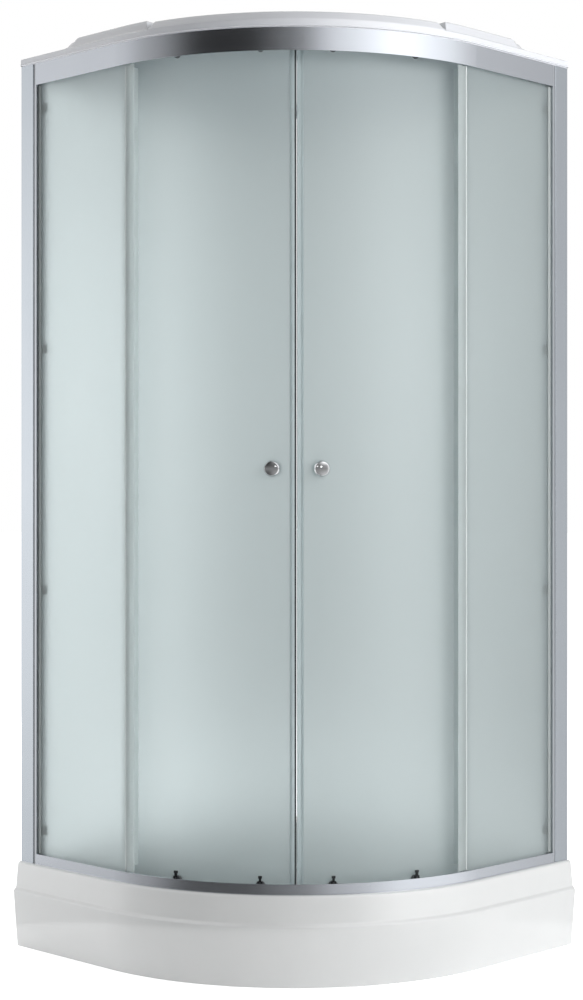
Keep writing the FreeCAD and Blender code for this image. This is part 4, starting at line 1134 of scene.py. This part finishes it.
@dataclass
class Roof:
    """The moulded roof: a rim with a bead at its foot, a deck and three raised panels."""

    shop: Shop
    base: float = 1990.0
    rim: float = 17.0
    rise: float = 19.0
    pad_rise: float = 24.0
    thick: float = 3.0
    wall: float = 447.0
    island_spread: float = 35.0
    island_back: float = 170.0
    pad_turn: float = 35.6
    pad_start: float = -300.0
    pad_front: float = 4.0
    pad_back: float = 224.5
    front_run: float = 14.8
    groove_run: float = 9.5
    pad_run: float = 12.0
    end_run: float = 33.0
    deck_edge: float = -1.5
    edge_bend: float = 2.5
    softness: float = 0.22

    def ramp(self, t: float) -> float:
        """Give a raised panel's share of its height, from the share of its slope, with rounded bends."""

        def smaller(a: float, b: float) -> float:
            """Give the smaller of two numbers, blended where they are close."""
            return min(a, b) - max(self.softness - abs(a - b), 0.0) ** 2 / (4 * self.softness)

        return max(-smaller(-smaller(t, 1.0), 0.0), 0.0)

    def top(self, run: Run, at: float, depth: float) -> float:
        """Give the height of the roof's upper surface.

        Args:
            run: Which run of the front edge the place is behind.
            at: The place along a side, as x on the left, or the angle from the middle of the front in degrees.
            depth: The distance in from the frame's face.

        Returns:
            The height above the floor.
        """
        edge, bend = depth - self.deck_edge, self.edge_bend
        z = self.base + self.rim - (bend - math.sqrt(bend**2 - (bend - min(edge, bend)) ** 2))
        out = PLAN.radius - depth
        across = min(depth - self.pad_front, self.pad_back - depth) / self.pad_run
        if run is not Run.FRONT:
            return z + self.pad_rise * self.ramp(min((at - self.pad_start) / self.end_run, across))
        middle = abs(at) < self.island_spread
        past = self.island_spread - abs(at) if middle else abs(at) - self.pad_turn
        flank = out * math.sin(math.radians(past)) / self.groove_run
        if middle:
            length = min(edge / self.front_run, (out - self.island_back) / self.front_run)
            return z + self.rise * self.ramp(min(length, flank))
        return z + self.pad_rise * self.ramp(min(flank, across))

    def stations(self) -> list[tuple[Run, float]]:
        """Give the columns of the roof, along the left side, round the front and up the right side."""
        pad = [self.pad_start, self.pad_start + self.end_run]
        side = [-PLAN.wall, -self.wall, *graded(0.1 - self.wall, PLAN.centre[0], pad, 3.5, 1.2, 14.0)]
        bends = (self.island_spread, self.island_spread - 1, self.pad_turn, self.pad_turn + 1)
        angles = graded(-45.0, 45.0, [sign * bend for sign in (-1, 1) for bend in bends], 0.5, 0.12, 1.3)
        left, right = [(Run.LEFT, x) for x in side], [(Run.RIGHT, x) for x in side[::-1]]
        return left + [(Run.FRONT, angle) for angle in angles[1:-1]] + right

    def point(self, run: Run, at: float, depth: float) -> Pair:
        """Give the plan position of a column at a depth."""
        if run is Run.FRONT:
            return PLAN.on_arc(math.radians(at - 45), depth)
        return (at, -PLAN.reach + depth) if run is Run.LEFT else (PLAN.reach - depth, -at)

    def build(self) -> None:
        """Build the roof as one closed shell with bosses for its screws, and the screws."""
        island_end = PLAN.radius - self.island_back
        edges = [
            self.front_run + self.deck_edge, self.pad_front, self.pad_front + self.pad_run,
            self.pad_back - self.pad_run, self.pad_back, island_end - self.front_run, island_end,
        ]
        deck = graded(2.2, PLAN.radius, edges, 3.5, 1.2, 15.0)
        # Each point of the rim is (depth, height), from its foot over the bead to the deck.
        outside = [(0.8, 0.0), (0.8, 2.0), (-2.3, 2.1), (-3.0, 2.7), (-3.0, 4.3), (-1.9, 5.4), (-1.5, 14.5)]
        depths_above = [depth for depth, _ in outside] + [-1.3, -0.9, -0.3, 0.4, 1.2] + deck
        depths_below = [0.8, 0.9, 1.0, 1.1, 1.2, 1.3, 1.4, 1.5, 1.6, 1.8, 2.0, 2.1] + deck
        columns = self.stations()
        above: list[Ring] = []
        below: list[Ring] = []
        for run, at in columns:
            wall = run is not Run.FRONT and at <= -self.wall
            upper, lower = [], []
            for i, depth in enumerate(depths_above):
                z = self.base + outside[i][1] if i < len(outside) else self.top(run, at, depth)
                upper.append(Vector((*self.point(run, at, depth), z)) * MM)
            for depth in depths_below:
                z = self.base if wall or depth <= 2.0 else self.top(run, at, depth) - self.thick
                lower.append(Vector((*self.point(run, at, depth), z)) * MM)
            above.append(upper)
            below.append(lower)
        mesh = bmesh.new()
        for rows in (above, below, [above[0], below[0]], [above[-1], below[-1]]):
            skin(mesh, rows, closed=False)
        self.corner(mesh, [at for run, at in columns if run is Run.LEFT])
        for x, y, height in self.screw_places():
            boss = [(height - 1, 0), (height - 1, 4.2), (0.6, 4.0), (0, 3.6), (0, 1.6), (12, 1.5), (12, 0)]
            lathe(mesh, boss, 24, upright(x, y, self.base))
        # The roof takes the darker, bluer copy of the acrylic, whose colour is painted shade.
        self.shop.place(
            "roof_moulding", mesh, "enclosure", "acrylic_white", ROOF_ACRYLIC_PAINTED_SHADE, ["roof_cover"], crease=35
        )
        self.screws()

    def corner(self, mesh: bmesh.types.BMesh, xs: list[float]) -> None:
        """Add the square of deck between the sides' inner ends and the room corner."""
        ys, high = [-x for x in xs[::-1]], self.base + self.rim
        upper = [[Vector((x, y, high)) * MM for y in ys] for x in xs]
        lower = [
            [Vector((x, y, self.base if max(-x, y) >= self.wall else high - self.thick)) * MM for y in ys] for x in xs
        ]
        for rows in (upper, lower, [upper[0], lower[0]], [[row[-1] for row in upper], [row[-1] for row in lower]]):
            skin(mesh, rows, closed=False)

    def screw_places(self) -> list[tuple[float, float, float]]:
        """Give each screw's plan position and the height of the boss over it."""
        deep, low = 27.5, self.rim - 1
        places = []
        for angle in (-18, 18):
            point = PLAN.seat(angle, deep, 0).translation / MM
            places.append((point.x, point.y, low + self.rise))
        for along, height in ((110, low), (235, low + self.pad_rise)):
            x, y = -PLAN.wall + along, -PLAN.reach + deep
            places += [(x, y, height), (-y, -x, height)]
        return places

    def screws(self) -> None:
        """Build the roof's screws, with their heads under the head rail's web."""
        mesh = bmesh.new()
        for x, y, _ in self.screw_places():
            Screw(Vector((x, y, self.base - 1.5)), Vector((0, 0, 1)), 3.0, 2.0, 1.45, 11).add_to(mesh)
        self.shop.place("roof_fixings", mesh, "enclosure", "zinc_steel", instead_of=["roof_screws"])


# ------------------------------------------------------------------------------------------------- doors


@dataclass
class Door:
    """A curved door: glass, seals, knobs, wheels and their carriers."""

    shop: Shop
    side: Side
    rollers: dict[str, float] = field(default_factory=lambda: {"front": 8.5, "rear": 29.5})
    glass_depth: float = 38.0
    glass: float = 5.0
    wheel_depth: float = 22.2
    head_pin: float = 1973.8
    sill_pin: float = 199.2
    head_bolt: float = 1956.0
    sill_bolt: float = 202.0
    knob_angle: float = 5.7
    knob_height: float = 1074.5
    knob_radius: float = 17.25
    trail_angle: float = 45.5
    race_share: float = 0.45
    button_depth: float = 30.6

    @property
    def name(self) -> str:
        """Give the word for this side."""
        return self.side.value[0]

    def seat(self, degrees: float, depth: float, height: float) -> Matrix:
        """Give a seat on this door, with angles that grow away from the meeting line."""
        return PLAN.seat(self.side.value[1] * degrees, depth, height)

    def put(
        self,
        name: str,
        mesh: bmesh.types.BMesh,
        slot: str,
        node: str,
        finish: Finish | None = None,
        body: str | None = None,
    ) -> bpy.types.Object:
        """Place a piece of this door, under names that end in the door's side.

        Args:
            name: The piece's name, without the side.
            mesh: Its mesh. It is freed.
            slot: The record's slot that its finish belongs to.
            node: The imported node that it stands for, without the side.
            finish: The finish, or None for the slot's own.
            body: The body that it moves with, without the side, or None for the door.

        Returns:
            The new object.
        """
        side = self.name
        return self.shop.place(f"{name}_{side}", mesh, f"{body or 'door'}_{side}", slot, finish, [f"{node}_{side}"])

    def seals(self) -> None:
        """Build the magnetic seal and the fin seal on the trailing edge.

        The magnet of the left door shows in front, and the ribbed nose of the right door closes on it.
        """
        out, back = self.glass_depth - 0.4, self.glass_depth + self.glass + 0.5
        lead, trail = PLAN.on_curve(self.side, 0.0), PLAN.on_curve(self.side, self.trail_angle)
        legs = [
            (out - 1.5, 14), (out, 14), (out, 8.8), (back, 8.8), (back, 14), (back + 1.5, 14),
            (back + 1.5, 1.6), (back - 1.6, 1.0), (out + 1.6, 1.0),
        ]
        if self.side is Side.LEFT:
            vinyl = [(out + 1.6, 4.9), (out - 1.5, 4.9), *legs]
            magnet = [(out - 0.6, 0.9), (out - 0.6, 4.8), (out + 1.5, 4.8), (out + 1.5, 0.9)]
        else:
            vinyl = [(out - 0.5, 0.5), (out - 1.5, 1.2)]
            for at in (3.2, 7.0):
                vinyl += [(out - 1.5, at), (out - 1.0, at + 0.3), (out - 1.0, at + 0.8), (out - 1.5, at + 1.1)]
            vinyl += legs
            magnet = [(out + 1.7, 0.42), (out + 1.7, 0.98), (back + 1.2, 0.98), (back + 1.2, 0.42)]
        fin = [
            (back, -8), (back + 1.4, -8), (back + 1.4, 2), (out - 1.4, 2), (out - 7, 0.8), (out - 7, -0.4),
            (out - 1.4, -0.6), (out - 1.4, -8), (out, -8), (out, 0.3), (back, 0.3),
        ]
        whole, pane = (193.5, 1983.0), (213.0, 1941.0)
        for name, node, section, (low, high), place, ease, finish in (
            ("magnet_seal_vinyl", "magnet_seal", vinyl, whole, lead, 0.5, CLOUDY_VINYL),
            ("magnet_core", "magnet_seal", magnet, whole, lead, 0.2, MAGNET_STRIP),
            ("trail_fin", "trail_seal", fin, pane, trail, 0.4, None),
        ):
            mesh = bmesh.new()
            bar(mesh, section, low, high, place, ease)
            self.put(name, mesh, "clear_plastic", node, finish)

    def knobs(self) -> None:
        """Build the two knobs: a foot ring, a waist and a domed head with a bright edge."""
        r, depth = self.knob_radius, self.glass_depth
        head = rounded(
            [
                (0.0, 7.6, 0.4), (1.8, 7.6, 0.7), (2.6, 6.2, 0.8), (7.8, 6.0, 2.4), (9.6, r - 2.6, 2.0),
                (12.2, r - 0.2, 1.4), (15.0, r, 1.2), (19.4, r - 0.4, 2.0), (22.9, r - 3.0, 1.2),
                (23.44, 10.5, 0.0), (23.75, 7.0, 0.0), (23.94, 3.5, 0.0), (24.0, 0.0, 0.0),
            ], 6,
        )
        stud = [(-14.0, 0.0), (-14.0, 2.6), (-13.6, 3.0), (0.0, 3.0)]
        bore = [(9.5, 0.0), (9.5, 3.1), (0.0, 3.1)]
        front = self.seat(self.knob_angle, depth, self.knob_height)
        rear = self.seat(self.knob_angle, depth + self.glass + 0.1, self.knob_height) @ HALF_TURN
        for where, node, start, seat in (("outside", "outer", stud, front), ("inside", "inner", bore, rear)):
            mesh = bmesh.new()
            lathe(mesh, start + head, 64, seat)
            self.put(f"knob_{where}", mesh, "chrome_plate", f"knob_{node}")

    def wheels(self) -> None:
        """Build each wheel as a nylon tyre on a shielded bearing."""
        sizes = {"upper": (11.5, 2.5, self.head_pin), "lower": (5.5, 1.8, self.sill_pin)}
        for place, angle in self.rollers.items():
            for level, (radius, bore, height) in sizes.items():
                seat = self.seat(angle, self.wheel_depth, height)
                race = bore + (radius - bore) * self.race_share
                tyre = [(-2.7, race, 0), (-2.7, radius - 0.9, 0.2), (-1.6, radius, 0.6)]
                shield = [
                    (-3.0, bore, 0), (-3.0, bore + 0.9, 0.1), (-2.5, bore + 1.0, 0.1), (-2.4, race - 0.5, 0.1),
                    (-2.75, race - 0.3, 0.1), (-2.75, race, 0),
                ]
                for name, half, steps, segments, slot in (
                    ("tyre", tyre, 4, 48, "white_nylon"),
                    ("bearing", shield, 3, 40, "zinc_steel"),
                ):
                    whole = [*half, *((-x, r, bend) for x, r, bend in half[::-1]), half[0]]
                    mesh = bmesh.new()
                    lathe(mesh, rounded(whole, steps), segments, seat)
                    self.put(
                        f"{level}_{name}_{place}", mesh, slot, f"{level}_wheel_{place}",
                        body=f"wheel_{level}_{place}",
                    )

    def bolts(self) -> None:
        """Build the round-headed bolts through the glass and the axles of the upper wheels."""
        mesh = bmesh.new()
        axle = rounded(
            [(0, 0, 0), (0, 2.45, 0.2), (18.3, 2.45, 0.1), (18.3, 3.8, 0.3), (19.2, 3.6, 0.3), (19.2, 0, 0)], 3
        )
        for angle in self.rollers.values():
            for height, r in ((self.head_bolt, 7.0), (self.sill_bolt, 10.5)):
                bolt = rounded(
                    [
                        (-8.4, 0, 0), (-8.4, 2.45, 0.3), (0.2, 2.45, 0), (0.2, r, 0.3), (3.6, r, 1.2),
                        (6.2, r - 1.8, 1.2), (6.2, r * 0.45, 0.3), (5.2, r * 0.38, 0.3), (5.2, 0, 0),
                    ], 4,
                )
                lathe(mesh, bolt, 40, self.seat(angle, self.glass_depth + self.glass, height) @ HALF_TURN)
            lathe(mesh, axle, 32, self.seat(angle, self.glass_depth - 1, self.head_pin))
        self.put("roller_fixings", mesh, "chrome_plate", "roller_bolts")

    def springs(self) -> None:
        """Wind the small spring behind each release button."""
        low, tall, coils, radius, wire, steps = 204.0, 6.0, 5.0, 1.6, 0.22, 80
        for place, angle in self.rollers.items():
            mesh = bmesh.new()
            seat = self.seat(angle, self.button_depth, 0).translation / MM
            path = []
            for step in range(steps + 1):
                t = step / steps
                a = 2 * math.pi * coils * t
                z = low + wire + (tall - 2 * wire) * t
                path.append(Vector((seat.x + radius * math.cos(a), seat.y + radius * math.sin(a), z)))
            tube(mesh, path, wire)
            coil = self.put(f"spring_coil_{place}", mesh, "spring_steel", f"button_spring_{place}")
            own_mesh(coil)

    def build(self) -> None:
        """Build the turned pieces and finish the rest."""
        for node in ("door_glass", "upper_rollers", "lower_rollers"):
            self.shop.dress(f"{node}_{self.name}")
        for place in self.rollers:
            self.shop.dress(f"release_button_{place}_{self.name}")
        self.seals()
        self.knobs()
        self.wheels()
        self.bolts()
        self.springs()


# ------------------------------------------------------------------------------------------------ studio


@dataclass(frozen=True)
class ClothRow:
    """One level of the painted cloth: where it hangs and how bright it is at each bearing."""

    out: float
    height: float
    glows: tuple[float, ...]


# Each card glows, and only mirrors see it: it paints small highlights on the chrome.
@dataclass(frozen=True)
class Card:
    """A white card hung just inside the cloth. Its middle and width are degrees, its height is in metres."""

    bearing: float
    height: float
    wide: float
    tall: float
    glow: float


@dataclass(frozen=True)
class Cloth:
    """A cloth round the enclosure that only mirrors see, sprayed in greys that pass softly into each other.

    It runs from the floor up the walls and closes overhead. The dark stretch is what the curved metal
    shows to the left of its middle, and the bright one is the soft box to its right. The cards are for
    the chrome.
    """

    bearings: tuple[float, ...] = (-180, -125, -97, -88, -71, -45, -21, 0, 21, 50, 71, 88, 97, 125, 180)
    rows: tuple[ClothRow, ...] = (
        ClothRow(0.75, 0.004, (1, 1.00, 1.02, 0.85, 0.55, 0.12, 0.12, 0.30, 0.80, 1.40, 1.40, 1.03, 0.76, 0.72, 1)),
        ClothRow(1.60, 0.004, (1, 1.05, 1.10, 0.90, 0.57, 0.12, 0.12, 0.30, 0.84, 1.45, 1.45, 1.03, 0.76, 0.72, 1)),
        ClothRow(6.50, 0.004, (1, 1.30, 1.35, 1.10, 0.60, 0.10, 0.10, 0.36, 0.55, 1.80, 1.55, 1.08, 0.76, 0.72, 1)),
        ClothRow(6.50, 1.100, (1, 1.50, 1.58, 1.15, 0.60, 0.20, 0.24, 0.26, 0.30, 2.20, 1.70, 1.12, 0.75, 0.72, 1)),
        ClothRow(6.50, 2.000, (1, 1.40, 1.48, 1.10, 0.60, 0.06, 0.08, 0.16, 0.40, 2.30, 1.75, 1.12, 0.70, 0.63, 1)),
        ClothRow(6.50, 3.300, (1, 1.05, 1.10, 0.98, 0.58, 0.03, 0.03, 0.32, 1.60, 2.30, 1.75, 1.18, 0.66, 0.55, 1)),
        ClothRow(6.50, 5.500, (1, 1.00, 1.00, 0.95, 0.55, 0.05, 0.05, 0.20, 1.50, 2.00, 1.60, 1.02, 0.64, 0.55, 1)),
        ClothRow(3.00, 6.500, (1, 1.20, 1.30, 1.20, 0.70, 0.05, 0.05, 0.80, 1.80, 2.30, 2.00, 1.60, 1.20, 1.0, 1)),
        ClothRow(0.30, 6.800, (0.5,) * 15),
    )
    cards: tuple[Card, ...] = (Card(10.0, 1.62, 3.0, 0.30, 4.0), Card(-0.6, 1.78, 5.0, 0.16, 3.0))
    card_out: float = 6.0
    columns: int = 180


def eased(value: float, marks: Sequence[float], levels: Sequence[float]) -> float:
    """Give the level at a value, eased between the marks whose levels are stated."""
    for low, high, first, last in zip(marks, marks[1:], levels, levels[1:]):
        if value <= high:
            t = (value - low) / (high - low)
            return first + (last - first) * t * t * (3 - 2 * t)
    return levels[-1]


@dataclass(frozen=True)
class Curtain:
    """A pale curtain hung just behind the open corner, which shows through the glass and nowhere else.

    Its glow is painted light: it is painted as if two soft lights washed it, a strong one from the left and a weak one
    from the right, both fading towards the ceiling, and as if a low one lit the middle of its foot. It is `behind` the
    middle of the enclosure. Each point's brightness is its place's glow times its height's share, and below `reach` its
    place's low glow is added, in full at the floor.
    """

    behind: float = 0.68
    places: tuple[float, ...] = (-0.95, -0.60, -0.36, -0.18, 0.12, 0.37, 0.58, 0.95)
    glows: tuple[float, ...] = (2.00, 2.15, 2.15, 1.12, 0.98, 1.46, 0.76, 0.75)
    lows: tuple[float, ...] = (0.0, 0.05, 1.20, 1.50, 1.25, 0.50, 0.60, 0.0)
    reach: float = 0.5
    heights: tuple[float, ...] = (0.0, 0.7, 1.4, 2.1, 2.7)
    shares: tuple[float, ...] = (0.80, 0.93, 1.0, 0.82, 0.78)
    columns: int = 40
    rows: int = 27

    def glow(self, place: float, height: float) -> float:
        """Give the brightness at a place across and a height, both in metres."""
        high = eased(place, self.places, self.glows) * eased(height, self.heights, self.shares)
        return high + eased(place, self.places, self.lows) * max(0.0, 1 - height / self.reach)


@dataclass(frozen=True)
class Lamp:
    """A rectangular soft lamp that faces the enclosure: where it stands, its width and height, and its power."""

    name: str
    bearing: float
    distance: float
    height: float
    size: Pair
    watts: float


@dataclass
class Studio:
    """A plain pale floor, soft lamps, a grey cloth for the metal to mirror, a curtain behind, and the camera.

    Bearings are degrees about the middle of the enclosure, from its front corner and positive to the right.
    Distances are in metres. One lamp is wide and stands to the right, two are to the left and two are
    behind the glass.
    """

    camera_bearing: float = -0.6745
    camera_distance: float = 4.4433
    camera_height: float = 1.0189
    lens: float = 70.655
    sensor: float = 36.0
    shift: Pair = (-0.0034, -0.0047)
    lamps: tuple[Lamp, ...] = (
        Lamp("key", 52, 4.2, 2.7, (3.8, 3.4), 180.0),
        Lamp("left", -98, 4.2, 1.3, (2.0, 2.2), 64.0),
        Lamp("side", -130, 4.5, 1.6, (2.0, 3.0), 105.0),
        Lamp("back", -160, 4.5, 1.4, (2.0, 3.0), 45.0),
        Lamp("rear", 180, 2.6, 2.4, (2.0, 0.5), 40.0),
    )
    cloth: Cloth = Cloth()
    curtain: Curtain = Curtain()
    room_light: float = 0.12
    floor_reach: float = 40.0
    floor_below: float = 0.0005
    lift_span: Pair = (0.6, 2.6)
    lift: Pair = (0.72, 1.0)
    lift_lost_in_glass: float = 0.1

    def bearing(self, degrees: float, distance: float, height: float) -> Vector:
        """Give a point at a bearing, in metres."""
        turn = math.radians(degrees - 45)
        return Vector((distance * math.cos(turn), distance * math.sin(turn), height))

    def camera(self) -> None:
        """Stand the camera level in front, at the photograph's bearing and height."""
        data = bpy.data.cameras.new("camera")
        data.lens, data.sensor_width, data.sensor_fit = self.lens, self.sensor, "AUTO"
        data.shift_x, data.shift_y = self.shift
        thing = bpy.data.objects.new("camera", data)
        bpy.context.scene.collection.objects.link(thing)
        thing.location = self.bearing(self.camera_bearing, self.camera_distance, self.camera_height)
        thing.rotation_euler = [math.radians(a) for a in (90, 0, 45 + self.camera_bearing)]
        bpy.context.scene.camera = thing

    def light(self, lamp: Lamp) -> None:
        """Stand a lamp where it belongs, unseen by metal and through glass.

        Args:
            lamp: The lamp.
        """
        data = bpy.data.lights.new(lamp.name, "AREA")
        data.shape, data.energy = "RECTANGLE", lamp.watts
        data.size, data.size_y = lamp.size
        thing = bpy.data.objects.new(lamp.name, data)
        bpy.context.scene.collection.objects.link(thing)
        place = self.bearing(lamp.bearing, lamp.distance, lamp.height)
        thing.location = place
        thing.rotation_euler = (Vector((0, 0, place.z)) - place).to_track_quat("-Z", "Y").to_euler()
        thing.visible_glossy = thing.visible_transmission = False

    def hang(self) -> None:
        """Hang the cloth that mirrors show, with its cards."""
        cloth = self.cloth
        columns: list[Column] = []
        sheets: list[list[Column]] = []
        for step in range(cloth.columns):
            at = -180 + 360 * step / cloth.columns
            columns.append(
                [(self.bearing(at, row.out, row.height), eased(at, cloth.bearings, row.glows)) for row in cloth.rows]
            )
        for card in cloth.cards:
            low, high = card.height - card.tall / 2, card.height + card.tall / 2
            edges = (card.bearing - card.wide / 2, card.bearing + card.wide / 2)
            sheets.append([[(self.bearing(at, cloth.card_out, z), card.glow) for z in (low, high)] for at in edges])
        self.sew("painted_cloth", [columns + columns[:1], *sheets]).visible_transmission = False

    def drape(self) -> None:
        """Drape the curtain, which only shows through glass."""
        curtain = self.curtain
        forward, across = self.bearing(0, 1, 0), self.bearing(90, 1, 0)
        left, wide = curtain.places[0], curtain.places[-1] - curtain.places[0]
        heights = [curtain.heights[-1] * row / curtain.rows for row in range(curtain.rows + 1)]
        columns: list[Column] = []
        for step in range(curtain.columns + 1):
            place = left + wide * step / curtain.columns
            foot = across * place - forward * curtain.behind
            columns.append([(Vector((foot.x, foot.y, height)), curtain.glow(place, height)) for height in heights])
        # The curtain's glow is painted light, seen only through the glass.
        self.sew("painted_light_curtain", [columns]).visible_glossy = False

    def sew(self, name: str, sheets: Sequence[Sequence[Column]]) -> bpy.types.Object:
        """Make a cloth that gives out as much light as its points say.

        Args:
            name: The cloth's name.
            sheets: Its sheets, each a row of columns.

        Returns:
            The cloth, which neither the camera nor the light on matt surfaces meets.
        """
        mesh = bmesh.new()
        layer = mesh.verts.layers.float.new("glow")
        for columns in sheets:
            made = [[mesh.verts.new(point) for point, _ in column] for column in columns]
            for verts, column in zip(made, columns):
                for vert, (_, glow) in zip(verts, column):
                    vert[layer] = glow
            for near, far in zip(made, made[1:]):
                for i in range(len(near) - 1):
                    mesh.faces.new((near[i], far[i], far[i + 1], near[i + 1]))
        material = bpy.data.materials.new(f"sprayed_{name}")
        tree = blank_tree(material)
        paint = add_node(tree, "ShaderNodeAttribute", {"attribute_name": "glow"})
        glow = add_node(
            tree, "ShaderNodeEmission", inputs={"Color": linear("#FFFFFF"), "Strength": paint.outputs["Fac"]}
        )
        add_node(tree, "ShaderNodeOutputMaterial", inputs={"Surface": glow.outputs[0]})
        thing = stand(name, mesh, material)
        thing.visible_camera = thing.visible_diffuse = thing.visible_shadow = thing.visible_volume_scatter = False
        thing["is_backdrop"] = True
        return thing

    def floor(self) -> None:
        """Lay a plain pale floor, lifted to white for the camera so that only the shadow shows on it."""
        mesh, reach = bmesh.new(), self.floor_reach
        square = ((-reach, -reach), (reach, -reach), (reach, reach), (-reach, reach))
        cap(mesh, [Vector((x, y, -self.floor_below)) for x, y in square])
        material = bpy.data.materials.new("pale_floor")
        tree = blank_tree(material)
        matt = add_node(tree, "ShaderNodeBsdfDiffuse", inputs={"Color": linear("#F7F7F7")})
        place = add_node(tree, "ShaderNodeTexCoord")
        away = add_node(tree, "ShaderNodeVectorMath", {"operation": "LENGTH"}, {0: place.outputs["Object"]})
        # The lift is weaker in the middle, where the lamps already light the floor, and a little weaker in glass.
        (near, far), (weak, full) = self.lift_span, self.lift
        lift = add_node(
            tree, "ShaderNodeMapRange",
            inputs={"Value": away.outputs["Value"], "From Min": near, "From Max": far, "To Min": weak, "To Max": full},
        )
        ray = add_node(tree, "ShaderNodeLightPath")
        dimmed = add_node(
            tree, "ShaderNodeMath", {"operation": "MULTIPLY_ADD"},
            {0: ray.outputs["Is Transmission Ray"], 1: -self.lift_lost_in_glass, 2: lift.outputs["Result"]},
        )
        lit = add_node(tree, "ShaderNodeEmission", inputs={"Strength": dimmed.outputs[0]})
        both = add_node(tree, "ShaderNodeAddShader", inputs={0: matt.outputs[0], 1: lit.outputs[0]})
        shown = add_node(
            tree, "ShaderNodeMixShader", inputs={0: self.seen(tree), 1: matt.outputs[0], 2: both.outputs[0]}
        )
        add_node(tree, "ShaderNodeOutputMaterial", inputs={"Surface": shown.outputs[0]})
        thing = stand("floor", mesh, material)
        thing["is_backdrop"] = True

    def seen(self, tree: bpy.types.NodeTree) -> bpy.types.NodeSocket:
        """Give 1 for what the camera, mirrors and glass show, and 0 for light on matt surfaces."""
        ray = add_node(tree, "ShaderNodeLightPath")
        share = ray.outputs["Is Camera Ray"]
        for name in ("Is Glossy Ray", "Is Transmission Ray"):
            larger = add_node(tree, "ShaderNodeMath", {"operation": "MAXIMUM"}, {0: share, 1: ray.outputs[name]})
            share = larger.outputs[0]
        return share

    def world(self) -> None:
        """Surround the scene with an even pale studio that looks white to the eye and to mirrors."""
        world = bpy.data.worlds.new("studio")
        bpy.context.scene.world = world
        tree = blank_tree(world)
        soft, white = (
            add_node(tree, "ShaderNodeBackground", inputs={"Color": linear("#FFFFFF"), "Strength": strength})
            for strength in (self.room_light, 1.0)
        )
        shown = add_node(
            tree, "ShaderNodeMixShader", inputs={0: self.seen(tree), 1: soft.outputs[0], 2: white.outputs[0]}
        )
        add_node(tree, "ShaderNodeOutputWorld", inputs={"Surface": shown.outputs[0]})

    def build(self) -> None:
        """Set up the camera, the lamps and the surroundings."""
        self.camera()
        for lamp in self.lamps:
            self.light(lamp)
        self.hang()
        self.drape()
        self.floor()
        self.world()
        bpy.context.scene.view_settings.view_transform = "Standard"


def corners(bounds: tuple[Vector, Vector]) -> list[list[float]]:
    """Turn two corners into plain lists of numbers."""
    return [[float(v) for v in corner] for corner in bounds]


def main() -> None:
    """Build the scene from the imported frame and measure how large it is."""
    logging.basicConfig(level=logging.INFO, format="%(name)s: %(message)s")
    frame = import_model()
    cad = corners(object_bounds())
    Studio().build()
    shop = Shop(frame)
    for part in (Tray, Understructure, Frame, FixedPanels, Roof):
        part(shop).build()
    for side in Side:
        Door(shop, side).build()
    {"cad": cad, "visual": corners(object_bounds())}


if __name__ == "__main__":
    main()
